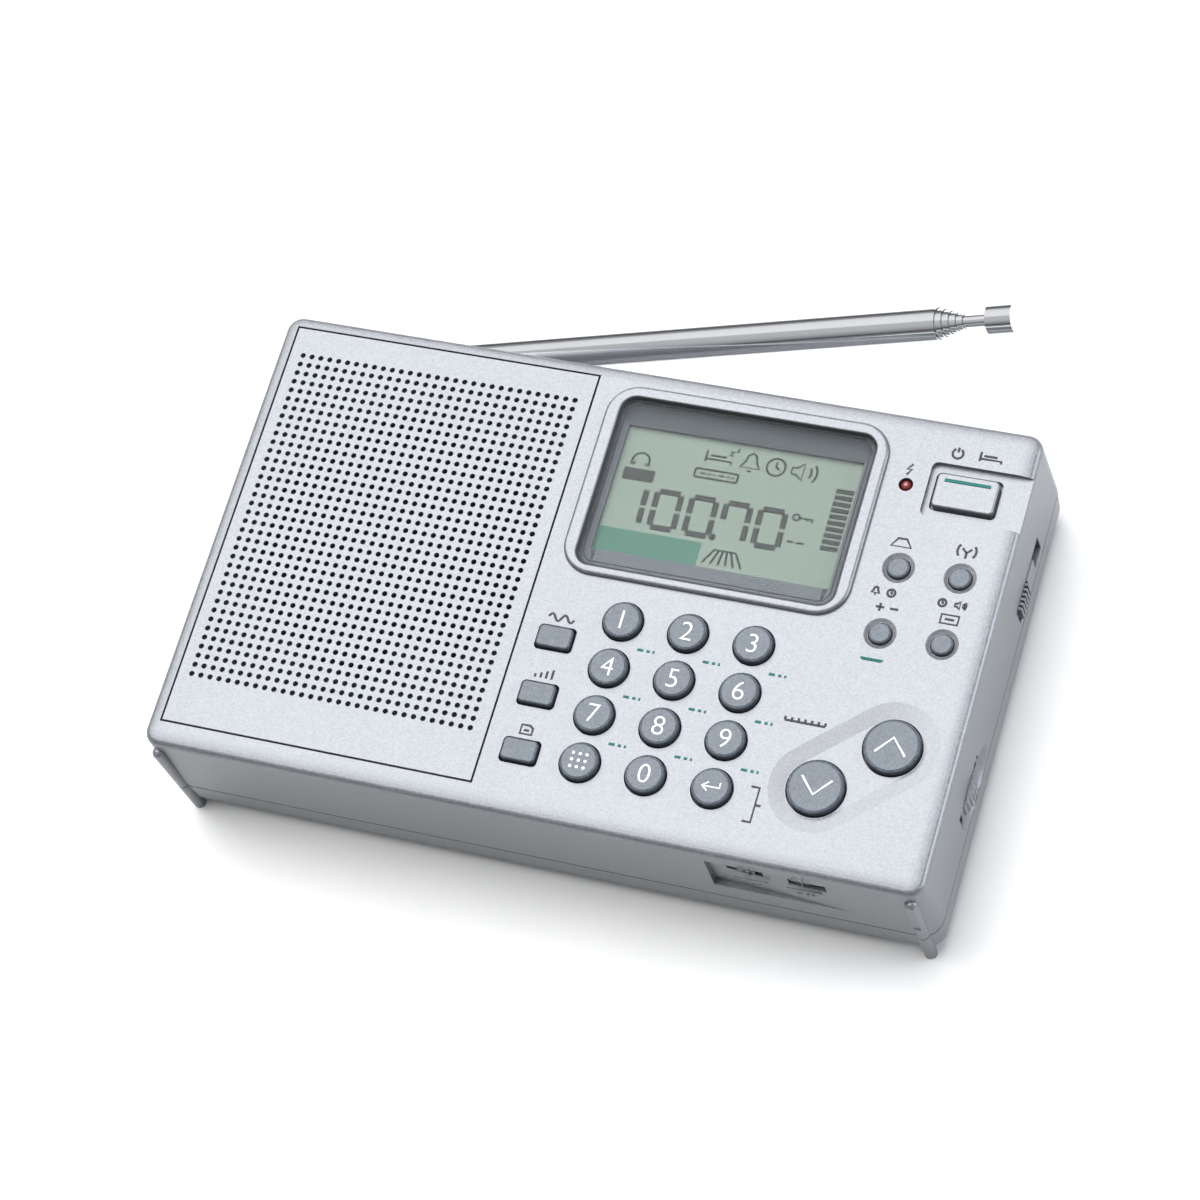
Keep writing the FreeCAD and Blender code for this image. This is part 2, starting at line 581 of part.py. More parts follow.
def make_case_screws():
    """Four pan-head screws, each turned about its own axis, in one node."""
    profile = (("0", "0"), ("head_rad", "0"), ("head_rad", "1.2"), ("screw_rad", "1.5"),
               ("screw_rad", "13"), ("0.3", "14"), ("0", "14"))
    screws = []
    for number, (a, b) in enumerate(CORNERS):
        body = turned(f"screw_{number}", profile,
                      (f"{a}*screw_x", f"{b}*screw_y", "back_level + 0.9"))
        slots = [block("cross", f"{a}*screw_x - {half_x}", f"{a}*screw_x + {half_x}",
                       f"{b}*screw_y - {half_y}", f"{b}*screw_y + {half_y}",
                       "back_level", "back_level + 1.5")
                 for half_x, half_y in (("1.2", "0.25"), ("0.25", "1.2"))]
        screws.append(less(f"screw_{number}_shape", body, *slots))
    subpart(group("case_screws_shape", *screws), "case_screws")


def make_battery_door():
    skin = block("door_plate", "bay_left - door_edge + 0.15", "bay_right + door_edge - 0.15",
                 "bay_front - door_edge + 0.55", "bay_rear + door_edge - 0.15",
                 "back_level + 0.05", "door_skin - 0.1")
    inside = block("door_inner", "bay_left + 0.2", "bay_right - 0.2", "bay_front + 0.2",
                   "bay_rear - 0.2", "door_skin - 0.2", "back_inner")
    grips = [block("door_grip", "(bay_left + bay_right)/2 - 9", "(bay_left + bay_right)/2 + 9",
                   f"bay_rear - {4 + 1.6 * step}", f"bay_rear - {3.2 + 1.6 * step}",
                   "back_level - 1", "back_level + 0.35") for step in range(4)]
    subpart(less("battery_door_shape", joined("door_body", skin, inside), *grips),
            "battery_door")


def make_kickstand():
    plate = block("stand_plate", "stand_x - stand_len/2", "stand_x + stand_len/2",
                  "stand_foot", "stand_hinge", "stand_low", "stand_high")
    barrel = bar("stand_barrel", "x", "stand_x - stand_len/2", "stand_hinge", "stand_axis",
                 "stand_axis - stand_low", "stand_len")
    pins = bar("stand_pins", "x", "stand_x - stand_len/2 - 1.2", "stand_hinge", "stand_axis",
               "stand_pin", "stand_len + 2.4")
    grips = [block("stand_grip", "stand_x - 6", "stand_x + 6", f"stand_foot + {0.8 + 1.4 * step}",
                   f"stand_foot + {1.4 + 1.4 * step}", "stand_low - 1", "stand_low + 0.4")
             for step in range(3)]
    solid = joined("stand_solid", plate, barrel, pins)
    subpart(less("kickstand_shape", solid, *grips), "kickstand")


def make_grille_panel():
    """A flat plate pierced by the whole field of holes, drawn as one face and raised."""
    half_l = dim("grille_len") / 2 - dim("groove_wide")
    half_w = dim("grille_wid") / 2 - dim("groove_wide")
    mid_x, mid_y, low = dim("grille_x"), dim("grille_y"), dim("grille_seat")
    corners = [V(mid_x + a * half_l, mid_y + b * half_w, low) for a, b in CORNERS]
    outline = Part.Wire(Part.makePolygon([*corners, corners[0]]).Edges)
    columns, rows = int(dim("hole_cols")), int(dim("hole_rows"))
    holes = []
    for column in range(columns):
        for row in range(rows):
            centre = V(dim("holes_x") + (column - (columns - 1) / 2) * dim("pitch_x"),
                       dim("holes_y") + (row - (rows - 1) / 2) * dim("pitch_y"), low)
            circle = Part.Circle(centre, V(0, 0, 1), dim("hole_rad"))
            holes.append(Part.Wire(circle.toShape()))
    pierced = Part.makeFace([outline, *holes], "Part::FaceMakerBullseye")
    panel = doc.addObject("Part::Feature", "grille_panel_shape")
    panel.Shape = pierced.extrude(V(0, 0, dim("face_level") - low))
    subpart(panel, "grille_panel")


def make_grille_backing():
    """The thin dust sheet under the grille, open in front of the cone."""
    edge = "groove_wide + 0.1"
    sheet_block = block("backing_sheet", f"grille_x - grille_len/2 + {edge}",
                        f"grille_x + grille_len/2 - {edge}",
                        f"grille_y - grille_wid/2 + {edge}",
                        f"grille_y + grille_wid/2 - {edge}", "grille_floor", "grille_seat")
    opening = post("backing_opening", "spk_x", "spk_y", "spk_open", "grille_floor - 1",
                   "grille_seat + 1")
    tabs = []
    for name, across, along, wide, deep in (("tab_upper", 7.2, 23.2, 3.4, 4.4),
                                            ("tab_lower", 10.4, -21.2, 9.0, 5.4)):
        tabs.append(block(name, f"spk_x + {across - wide / 2}", f"spk_x + {across + wide / 2}",
                          f"spk_y + {along - deep / 2}", f"spk_y + {along + deep / 2}",
                          "grille_floor", "grille_seat"))
    subpart(joined("grille_backing_shape", less("backing_ring", sheet_block, opening), *tabs),
            "grille_backing")


# ---- loudspeaker -------------------------------------------------------------------------

def make_speaker():
    centre = ("spk_x", "spk_y", "0")
    basket = (("spk_flange", "25.2"), ("spk_flange", "roof_level"), ("27.4", "roof_level"),
              ("27.4", "24.0"), ("14.2", "16.2"), ("14.2", "14.4"), ("15.0", "14.4"),
              ("28.2", "22.6"), ("28.2", "25.2"))
    shell = turned("basket_body", basket, centre)
    windows = [bar(f"basket_window_{turn}", "x", "spk_x + 16.5", "spk_y", "18.4", "2.2", "9")
               for turn in range(6)]
    for turn, window in enumerate(windows):
        middle = V(dim("spk_x"), dim("spk_y"), 0)
        spin = FreeCAD.Placement(V(), FreeCAD.Rotation(V(0, 0, 1), 60 * turn + 30), middle)
        window.setExpression("Placement.Base.x", None)
        window.setExpression("Placement.Base.y", None)
        doc.recompute()
        window.Placement = spin.multiply(window.Placement)
    subpart(less("basket_shape", shell, *windows), "speaker_basket")
    cone_profile = (("26.6", "24.9"), ("25.6", "25.6"), ("24.4", "25.0"), ("9.0", "18.2"),
                    ("7.8", "19.3"), ("4.0", "20.6"), ("0", "21.0"), ("0", "20.6"),
                    ("4.0", "20.2"), ("7.0", "19.0"), ("7.0", "15.2"), ("7.5", "15.2"),
                    ("7.5", "17.6"), ("9.2", "17.6"), ("24.6", "24.5"), ("25.6", "25.2"),
                    ("26.4", "24.5"))
    subpart(turned("cone_body", cone_profile, centre), "speaker_cone")
    magnet = (("0", "9.4"), ("14.0", "9.4"), ("14.0", "15.9"), ("8.0", "15.9"),
              ("8.0", "11.4"), ("6.4", "11.4"), ("6.4", "16.4"), ("0", "16.4"))
    subpart(turned("magnet_body", magnet, centre), "speaker_magnet")


# ---- display -----------------------------------------------------------------------------

def plate(name, level_low, level_top, mid_x, mid_y, length, width, radius):
    """A round-cornered plate as a sketched body."""
    body = new_body(name)
    sketch = rounded_rect(body, name + "_outline", level_low, mid_x, mid_y, length, width,
                          radius)
    pad(body, sketch, f"({level_top}) - ({level_low})")
    return body


def make_display():
    inside = ("lcd_x", "lcd_y", "lcd_len - 0.3", "lcd_wid - 0.3", "lcd_rad - 0.15")
    subpart(plate("lens_body", "lens_low", "lens_top", *inside), "lcd_lens")
    mask = plate("mask_body", "roof_level - 0.1", "lens_low", *inside)
    flange = plate("mask_flange", "roof_level - 1.0", "roof_level", "lcd_x", "lcd_y",
                   "lcd_len + 3", "lcd_wid + 3", "lcd_rad")
    window = block("mask_window", "window_x - window_len/2", "window_x + window_len/2",
                   "window_y - window_wid/2", "window_y + window_wid/2", "roof_level - 0.2",
                   "lens_low + 1")
    under = block("mask_under", "window_x - window_len/2 - 1", "window_x + window_len/2 + 1",
                  "window_y - window_wid/2 - 1", "window_y + window_wid/2 + 1",
                  "roof_level - 2", "roof_level + 0.3")
    subpart(less("lcd_frame_shape", joined("frame_solid", mask, flange), window, under),
            "lcd_frame")
    glass = block("glass_sheet", "window_x - window_len/2 - 0.8",
                  "window_x + window_len/2 + 0.8", "window_y - window_wid/2 - 0.8",
                  "window_y + window_wid/2 + 0.8", "board_top", "roof_level + 0.2")
    subpart(glass, "lcd_glass")


# ---- push buttons ------------------------------------------------------------------------

def round_button(label, mid_x, mid_y, radius, top, flange, edge, dish="0"):
    """A turned cap: flange under the face, round rim, slightly hollowed top."""
    profile = (("0", "flange_low"), (flange, "flange_low"), (flange, "flange_top"),
               (radius, "flange_top"), (radius, f"{top} - {edge}"),
               (f"{radius} - 0.3*{edge}", f"{top} - 0.3*{edge}"), (f"{radius} - {edge}", top),
               ("0", f"{top} - {dish}"))
    subpart(turned(label + "_body", profile, (mid_x, mid_y, "0")), label)


def soft_button(label, mid_x, mid_y, length, width, radius, top, edge):
    """A rectangular cap with round corners and edges on a wider flange."""
    body = new_body(label + "_body")
    foot = rounded_rect(body, label + "_foot", "flange_low", mid_x, mid_y,
                        f"{length} + 2*cap_gap + 2*flange_wide",
                        f"{width} + 2*cap_gap + 2*flange_wide", radius)
    pad(body, foot, "flange_top - flange_low")
    cap = rounded_rect(body, label + "_cap", "flange_top", mid_x, mid_y, length, width, radius)
    raised = pad(body, cap, f"{top} - flange_top")
    level = eval_dim(top)
    rounded_edges(body, label + "_round", raised, lambda mid, box: abs(mid.z - level) < 0.01,
                  edge)
    subpart(body, label)


def make_buttons():
    for label, column, row in KEYS:
        round_button(label, column, row, "key_rad", "key_top",
                     "key_rad + cap_gap + flange_wide", "0.5")
    for label, row in SIDE_BUTTONS:
        soft_button(label, "side_x", row, "side_len", "side_wid", "side_rad", "side_top", "0.45")
    for label, column, row in SMALL_BUTTONS:
        round_button(label, column, row, "small_rad", "small_top", "small_rad + 0.9", "0.35")
    for label, column, row in TUNE_BUTTONS:
        round_button(label, column, row, "tune_rad", "tune_top", "tune_rad + 0.7", "0.55",
                     "0.15")
    soft_button("power_button", "power_x", "power_y", "power_len", "power_wid", "side_rad",
                "power_top", "0.4")


# ---- boards, switches and cells ----------------------------------------------------------

def switch_places():
    places = [(column, row) for _, column, row in KEYS]
    places += [("side_x", row) for _, row in SIDE_BUTTONS]
    places += [(column, row) for _, column, row in SMALL_BUTTONS + TUNE_BUTTONS]
    places.append(("power_x", "power_y"))
    return places


def make_boards():
    board = block("control_blank", "board_left", "board_right", "board_front", "board_rear",
                  "board_low", "board_top")
    corners = [post("board_notch", "screw_x", f"{side}*screw_y", "boss_rad + 0.5",
                    "board_low - 1", "board_top + 1") for side in SIDES]
    subpart(less("control_board_shape", board, *corners), "control_board")
    switches = []
    for mid_x, mid_y in switch_places():
        body = block("tact_base", f"{mid_x} - 2", f"{mid_x} + 2", f"{mid_y} - 2",
                     f"{mid_y} + 2", "board_top", "board_top + 1.0")
        plunger = post("tact_plunger", mid_x, mid_y, "0.9", "board_top + 0.9",
                       "board_top + 1.4")
        switches.append(joined("tact_switch", body, plunger))
    subpart(group("tact_switches_shape", *switches), "tact_switches")
    main = block("main_blank", "-4", "61.8", "bay_rear + 2.2", "41.0", "11.0", "12.6")
    chips = [block("main_chip", f"{left}", f"{left + size}", "25.4", f"{25.4 + size * 0.8}",
                   "12.5", "14.2") for left, size in ((4, 7), (18, 9), (36, 6), (48, 8))]
    subpart(joined("main_board_shape", main, *chips), "main_board")
    subpart(bar("ferrite_bar", "x", "-1", "36.9", "17.1", "3.4", "60"), "ferrite_rod")
    coils = []
    for start, length in ((6, 14), (38, 16)):
        outer = bar("coil_outer", "x", f"{start}", "36.9", "17.1", "4.0", f"{length}")
        inner = bar("coil_inner", "x", f"{start - 1}", "36.9", "17.1", "3.45",
                    f"{length + 2}")
        coils.append(less("coil", outer, inner))
    subpart(group("ferrite_coil_shape", *coils), "ferrite_coil")


def cell_row(number):
    return f"cell_y + {number}*cell_pitch"


def make_batteries():
    """Four AA cells, laid alternately, and the plates and springs at their ends."""
    cells = []
    contacts = []
    for number in range(4):
        row = cell_row(number)
        flipped = number % 2
        can = bar("cell_can", "x", "cell_x", row, "cell_level", "cell_rad", "cell_len")
        nub_start = "cell_x - nub_len" if flipped else "cell_x + cell_len - 0.1"
        nub = bar("cell_nub", "x", nub_start, row, "cell_level", "2.7", "nub_len + 0.1")
        cells.append(joined("cell", can, nub))
        cell_end = "cell_x + cell_len"
        left_tab = ("bay_left + 0.1", "bay_left + 0.4", "cell_x - 0.2")
        right_tab = ("bay_right - 0.5", f"{cell_end} + 0.2", "bay_right - 0.4")
        for (edge, start, end), spring in ((left_tab, not flipped), (right_tab, flipped)):
            tab = block("contact_tab", edge, f"{edge} + 0.4", f"{row} - 4.5", f"{row} + 4.5",
                        "cell_level - 4.5", "cell_level + 4.5")
            if spring:
                reach = f"({end}) - ({start})"
                coil = bar("spring_coil", "x", start, row, "cell_level", "3.0", reach)
                bore = bar("spring_bore", "x", start, row, "cell_level", "2.2", reach)
                contacts.append(joined("contact", tab, less("spring", coil, bore)))
            else:
                reach = f"({end}) - ({start}) - nub_len"
                inner = start if edge.startswith("bay_left") else f"({start}) + nub_len"
                dimple = bar("contact_dimple", "x", inner, row, "cell_level", "1.8", reach)
                contacts.append(joined("contact", tab, dimple))
    subpart(group("batteries_shape", *cells), "batteries")
    subpart(group("battery_contacts_shape", *contacts), "battery_contacts")


def make_jacks():
    front = "-face_len/2 + 0.3"
    for label, mid_y, bore, collar, width in (
            ("earphone_jack", "phone_y", "phone_rad", "phone_rad + 0.9", "3.4"),
            ("dc_jack", "mains_y", "mains_rad", "mains_rad + 0.6", "4.4")):
        box = block(label + "_box", "-face_len/2 + wall + 0.1", "-face_len/2 + wall + 12",
                    f"{mid_y} - {width}", f"{mid_y} + {width}", "lip_top + 0.15",
                    "jack_level + 3.9")
        ring = bar(label + "_collar", "x", front, mid_y, "jack_level", collar, "wall + 1")
        hole = bar(label + "_bore", "x", "-face_len/2 - 2", mid_y, "jack_level", bore, "13.5")
        shape = less(label + "_solid", joined(label + "_mass", box, ring), hole)
        if label == "dc_jack":
            pin = bar("dc_pin", "x", "-face_len/2 + 3", mid_y, "jack_level", "0.95", "9.5")
            shape = joined("dc_jack_shape", shape, pin)
        subpart(shape, label)


def make_light():
    profile = (("0", "board_top"), ("led_rad", "board_top"), ("led_rad", "led_top - 0.6"),
               ("0.75*led_rad", "led_top - 0.2"), ("0.35*led_rad", "led_top"), ("0", "led_top"))
    subpart(turned("led_body", profile, ("led_x", "led_y", "0")), "charge_led")


# ---- side controls -----------------------------------------------------------------------

def make_volume():
    """The serrated thumbwheel with its shaft, and the control that the shaft enters."""
    body = new_body("wheel_body")
    disc = circle_on(body, "wheel_disc", "wheel_low", "0", "0", "wheel_rad")
    pad(body, disc, "wheel_top - wheel_low")
    shaft = circle_on(body, "wheel_shaft", "wheel_top", "0", "0", "1.45")
    pad(body, shaft, "board_low - wheel_top - 1")
    notch = circle_on(body, "wheel_notch", "wheel_top", "wheel_rad + 0.12", "0", "0.34")
    cut = pocket(body, notch, "wheel_top - wheel_low")
    pattern = body.newObject("PartDesign::PolarPattern", "wheel_teeth_pattern")
    pattern.Originals = [cut]
    pattern.Axis = (plane_of(body, "Z_Axis"), [""])
    pattern.Angle = 360
    bind(pattern, Occurrences="wheel_teeth")
    body.Tip = pattern
    bind(body, Placement__Base__x="wheel_x", Placement__Base__y="wheel_y")
    subpart(body, "volume_wheel")
    pot = block("pot_box", "wheel_x - 5.2", "wheel_x + 3.4", "wheel_y - 5", "wheel_y + 5",
                "wheel_top + 1.0", "board_low")
    way = post("pot_way", "wheel_x", "wheel_y", "1.5", "wheel_top - 1", "board_low - 0.6")
    subpart(less("volume_pot_shape", pot, way), "volume_pot")


def make_tone_slider():
    """A flat slide knob with a stepped grip, and a wider foot behind the wall."""
    low, top = "tone_low + 0.25", "tone_top - 0.25"
    front = "tone_low_y + 0.6"
    face_in = "face_len/2 - wall"
    foot = block("tone_foot", f"{face_in} - 1.7", f"{face_in} - 0.3", "tone_low_y - 1.6",
                 f"{front} + tone_knob + 1.6", "tone_low + 0.05", "tone_top + 0.8")
    neck = block("tone_neck", f"{face_in} - 0.5", "face_len/2 + 0.2", front,
                 f"{front} + tone_knob", low, top)
    teeth = [block("tone_tooth", "face_len/2 + 0.1", "face_len/2 + 1.15",
                   f"{front} + {0.3 + 0.95 * step}", f"{front} + {0.8 + 0.95 * step}", low, top)
             for step in range(6)]
    tip = block("tone_flat", "face_len/2 + 0.1", "face_len/2 + 0.7", f"{front} + 6.0",
                f"{front} + tone_knob", low, top)
    subpart(joined("tone_slider_shape", foot, neck, tip, *teeth), "tone_slider")


def make_small_sliders():
    for label, mid, shift in (("lock_slider", "lock_x", 0.9), ("stereo_slider", "stereo_x", -0.9)):
        knob = f"{mid} + {shift}"
        inner = "-face_wid/2 + wall"
        foot = block(label + "_foot", f"{knob} - 3.8", f"{knob} + 3.8", f"{inner} + 0.3",
                     f"{inner} + 1.1", "switch_low - 0.8", "switch_top + 0.5")
        neck = block(label + "_neck", f"{knob} - switch_knob/2", f"{knob} + switch_knob/2",
                     "-face_wid/2 + 0.2", f"{inner} + 0.5", "switch_low + 0.2",
                     "switch_top - 0.2")
        ridge = block(label + "_ridge", f"{knob} - 0.25", f"{knob} + 0.25",
                      "-face_wid/2 - 0.05", "-face_wid/2 + 0.3", "switch_low + 0.2",
                      "switch_top - 0.2")
        subpart(joined(label + "_shape", foot, neck, ridge), label)


def make_switch_bodies():
    """The fixed halves of the three slide switches."""
    face_in = "face_len/2 - wall"
    tone = block("tone_body", f"{face_in} - 6.4", f"{face_in} - 2.0", "tone_low_y - 1",
                 "tone_high_y + 0.6", "tone_low - 0.6", "tone_top + 0.6")
    bodies = [tone]
    for mid in ("lock_x", "stereo_x"):
        bodies.append(block("slide_body", f"{mid} - 4.2", f"{mid} + 4.2",
                            "-face_wid/2 + wall + 1.4", "-face_wid/2 + wall + 4.6",
                            "switch_low - 0.8", "switch_top + 0.6"))
    subpart(group("switch_bodies_shape", *bodies), "switch_bodies")


# ---- telescopic antenna ------------------------------------------------------------------

def antenna_pose(lifted):
    """Where the swivel, or the lifted mast on it, stands at rest."""
    turn = FreeCAD.Rotation(V(0, 1, 0), -dim("ant_swing"))
    if lifted:
        turn = turn.multiply(FreeCAD.Rotation(V(0, 0, 1), dim("ant_lift")))
    return FreeCAD.Placement(V(dim("ant_x"), dim("ant_y") + dim("case_y"), dim("ant_z")), turn)


def antenna_part(shape, label, lifted=True):
    """Antenna pieces are drawn about the elbow pin, +X along the mast, then placed."""
    shape.Label = label
    shape.Placement = antenna_pose(lifted)
    bind(shape, Placement__Base__x="ant_x", Placement__Base__y="ant_y + case_y",
         Placement__Base__z="ant_z")
    SUBPARTS.append(shape)


def upright(name, radius, low, top):
    return post(name, "0", "0", radius, low, top)


def make_antenna_swivel():
    wall_out = "ant_y - face_wid/2 - draft"
    disc = bar("swivel_disc", "y", f"-({wall_out}) + 0.3", "0", "0", "disc_rad", "1.0")
    shaft = bar("swivel_shaft", "y", f"-({wall_out}) - wall - draft - 1.8", "0", "0",
                "shaft_rad", "wall + draft + 2.4")
    clip = bar("swivel_clip", "y", f"-({wall_out}) - wall - draft - 1.6", "0", "0", "clip_rad",
               "1.2")
    arms = []
    for side in SIDES:
        low, top = ("fork_in", "fork_out") if side > 0 else ("-fork_out", "-fork_in")
        eye = upright("fork_eye", "fork_rad", low, top)
        cheek = block("fork_cheek", "-fork_rad + 0.4", "fork_rad - 0.4",
                      f"-({wall_out}) + 0.8", "0", low, top)
        arms += [eye, cheek]
    hole = upright("fork_hole", "pin_rad + 0.03", "-fork_out - 1", "fork_out + 1")
    solid = joined("swivel_solid", disc, shaft, clip, *arms)
    antenna_part(less("antenna_swivel_shape", solid, hole), "antenna_swivel", lifted=False)
    shank = upright("pin_shank", "pin_rad", "-fork_out - 0.1", "fork_out + 0.1")
    heads = [upright("pin_head", "pin_rad + 0.55", low, top) for low, top in
             (("-fork_out - 0.4", "-fork_out - 0.05"), ("fork_out + 0.05", "fork_out + 0.4"))]
    antenna_part(joined("antenna_pin_shape", shank, *heads), "antenna_pin", lifted=False)


def make_antenna_tubes():
    for number in range(1, 6):
        outer = f"tube_dia/2 - {number - 1}*tube_step/2"
        start = "tube_start" if number == 1 else "tube_start + 2.2"
        end = f"tube_end + {number - 1}*ring_step"
        tube = bar(f"tube_{number}_outer", "x", start, "0", "0", outer, f"{end} - ({start})")
        bore_start = f"({start}) + 1.0" if number == 1 else f"({start}) - 1"
        bore = bar(f"tube_{number}_bore", "x", bore_start, "0", "0", f"{outer} - tube_wall",
                   "tube_end + 20")
        shape = less(f"tube_{number}_shape", tube, bore)
        if number == 1:
            knuckle = upright("knuckle_eye", "2.4", "-1.45", "1.45")
            tongue = block("knuckle_tongue", "0", "tube_start + 0.8", "-2.2", "2.2", "-1.45",
                           "1.45")
            eye = upright("knuckle_hole", "pin_rad + 0.05", "-3", "3")
            shape = less("tube_root", joined("tube_with_knuckle", shape, knuckle, tongue), eye)
        antenna_part(shape, f"antenna_tube_{number}")


def make_antenna_rod():
    rod_rad = "tube_dia/2 - 5*tube_step/2"
    rod = bar("rod_bar", "x", "tube_start + 2.2", "0", "0", rod_rad,
              "rod_end - tube_start - 2.2")
    antenna_part(group("antenna_rod_shape", rod), "antenna_rod")
    cap = bar("tip_cap", "x", "tip_start", "0", "0", "tip_dia/2", "tip_end - tip_start")
    socket = bar("tip_socket", "x", "tip_start - 1", "0", "0", rod_rad,
                 "rod_end - tip_start + 1")
    antenna_part(less("antenna_tip_shape", cap, socket), "antenna_tip")


# ---- build, check and write --------------------------------------------------------------

def build():
    fill_sheet()
    make_front_case()
    make_rear_case()
    make_case_screws()
    make_battery_door()
    make_kickstand()
    make_grille_panel()
    make_grille_backing()
    make_speaker()
    make_display()
    make_buttons()
    make_boards()
    make_batteries()
    make_jacks()
    make_light()
    make_volume()
    make_tone_slider()
    make_small_sliders()
    make_switch_bodies()
    make_antenna_swivel()
    make_antenna_tubes()
    make_antenna_rod()
    doc.recompute()


def check_and_write():
    failed = [thing.Name for thing in doc.Objects
              if "Invalid" in thing.State or "Error" in thing.State]
    for piece in SUBPARTS:
        if piece.Shape.isNull() or not piece.Shape.isValid():
            failed.append(piece.Label)
    if failed:
        raise RuntimeError("failed objects: " + ", ".join(failed))
    os.makedirs("parts", exist_ok=True)
    for piece in SUBPARTS:
        piece.Shape.exportStep(f"parts/{piece.Label}.step")
        box = piece.Shape.BoundBox
        print(f"{piece.Label:18s} {len(piece.Shape.Solids):3d} solids "
              f"{piece.Shape.Volume:10.1f} mm3  x {box.XMin:7.2f} {box.XMax:7.2f}  "
              f"y {box.YMin:7.2f} {box.YMax:7.2f}  z {box.ZMin:6.2f} {box.ZMax:6.2f}")
    print(len(SUBPARTS), "sub-parts")


build()
check_and_write()
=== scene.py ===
# %% [markdown]
# # A compact world-band radio
# The radio lies on its back with its telescopic antenna swung out. The solid pieces come
# from CAD and stay exactly where they are. Here they get their finishes, and the thin
# things that CAD leaves out are added: the numerals on the keys, the printed signs, and
# the dark segments of the display.

# %% Load the solid pieces
import json
import math
import bpy
from mathutils import Matrix, Quaternion, Vector

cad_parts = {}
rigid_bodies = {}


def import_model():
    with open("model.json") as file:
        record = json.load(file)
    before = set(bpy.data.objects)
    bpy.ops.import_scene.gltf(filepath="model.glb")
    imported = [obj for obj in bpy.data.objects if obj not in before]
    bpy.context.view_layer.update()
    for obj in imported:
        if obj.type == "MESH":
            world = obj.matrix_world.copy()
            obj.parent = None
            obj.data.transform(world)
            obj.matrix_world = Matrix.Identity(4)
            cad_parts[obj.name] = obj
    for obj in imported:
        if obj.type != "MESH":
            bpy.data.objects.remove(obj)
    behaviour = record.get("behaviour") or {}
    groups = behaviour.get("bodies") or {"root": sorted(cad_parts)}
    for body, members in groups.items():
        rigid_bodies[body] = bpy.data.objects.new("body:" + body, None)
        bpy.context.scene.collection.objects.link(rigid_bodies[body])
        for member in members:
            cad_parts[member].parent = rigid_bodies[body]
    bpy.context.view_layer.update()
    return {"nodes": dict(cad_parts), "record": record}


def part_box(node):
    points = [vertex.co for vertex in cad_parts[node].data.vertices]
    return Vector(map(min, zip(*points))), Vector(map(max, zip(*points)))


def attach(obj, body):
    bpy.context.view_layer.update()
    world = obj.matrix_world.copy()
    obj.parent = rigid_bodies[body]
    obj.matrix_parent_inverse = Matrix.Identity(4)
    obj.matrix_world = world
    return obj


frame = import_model()
nodes = frame["nodes"]

# %% [markdown]
# ## Where things are
# All places are read from the boxes of the CAD pieces.  A print is easiest to lay out in
# millimetres from the middle of the face, so one helper turns such a place into metres.

# %% Places on the case
MM = 0.001
HALF_CASE_Y = 44.6 * MM
case_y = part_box("front_case")[1].y - HALF_CASE_Y
face_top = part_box("grille_panel")[1].z
lens_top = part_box("lcd_lens")[1].z
glass_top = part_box("lcd_glass")[1].z


def middle(node):
    low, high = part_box(node)
    return (low + high) / 2


def top_of(node):
    place = middle(node)
    return Vector((place.x, place.y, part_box(node)[1].z))


print("face at", round(face_top * 1000, 2), "mm, display glass at", round(glass_top * 1000, 2))

# %% [markdown]
# ## Camera
# A long lens, high up on the right and turned a little, sees the face, the lower side and
# the right side at once.  The camera is made first, so that each piece can be judged as
# the viewer sees it.  Its turn is built from two steps: look at a point, then roll.

# %% Camera
EYE = Vector((208.944, -236.275, 592.430)) * MM
AIM = Vector((2.715, -1.588, 0.0)) * MM
ROLL = math.radians(-27.545)
LENS = 113.9

face_middle = Vector((0.0, case_y, face_top))
camera_data = bpy.data.cameras.new("camera")
camera = bpy.data.objects.new("camera", camera_data)
bpy.context.collection.objects.link(camera)
camera.location = face_middle + EYE
camera.rotation_mode = "QUATERNION"
look = (AIM - EYE).to_track_quat("-Z", "Y")
camera.rotation_quaternion = look @ Quaternion((0.0, 0.0, 1.0), ROLL)
camera_data.lens = LENS
camera_data.sensor_width = 36.0
camera_data.clip_start = 0.01
bpy.context.scene.camera = camera
print("camera stands", round((camera.location - face_middle).length, 3), "m away")

# %% [markdown]
# ## Light
# A broad sun from behind the radio lights the face and the table evenly and leaves the
# lower side in soft shade.  A large lamp at the right brightens the right side.  Chrome
# shows what is around it, so the sky runs from a dim horizon to a bright top: that gives
# the antenna its dark and light stripes.

# %% Sun, side lamp and sky
def add_light(name, kind, energy, **settings):
    data = bpy.data.lights.new(name, kind)
    data.energy = energy
    for key, value in settings.items():
        setattr(data, key, value)
    lamp = bpy.data.objects.new(name, data)
    bpy.context.collection.objects.link(lamp)
    return lamp


def point_at(lamp, start, target):
    lamp.location = start
    lamp.rotation_mode = "QUATERNION"
    lamp.rotation_quaternion = (Vector(target) - Vector(start)).to_track_quat("-Z", "Y")


SUN_FROM = (-0.33, 0.33, 0.9)
SUN_SPREAD = math.radians(68)
ORIGIN = (0.0, 0.0, 0.0)

sun = add_light("sun", "SUN", 5.2, angle=SUN_SPREAD)
point_at(sun, SUN_FROM, ORIGIN)
side_lamp = add_light("side_lamp", "AREA", 5.8, shape="RECTANGLE", size=0.6, size_y=0.4,
                      color=(0.88, 0.94, 1.0))
point_at(side_lamp, (0.85, 0.25, 0.35), (0.05, 0.0, 0.02))
bpy.context.scene.view_settings.view_transform = "Standard"
print("lights:", sun.name, side_lamp.name)

# %% [markdown]
# ## Shader sums as plain Python
# A pattern is arithmetic on numbers that change over a surface.  Written with nodes by
# hand it is long, so this small class wraps one output of a node.  Adding or multiplying
# wrapped outputs adds the Math nodes, and `add_node` makes any other node.

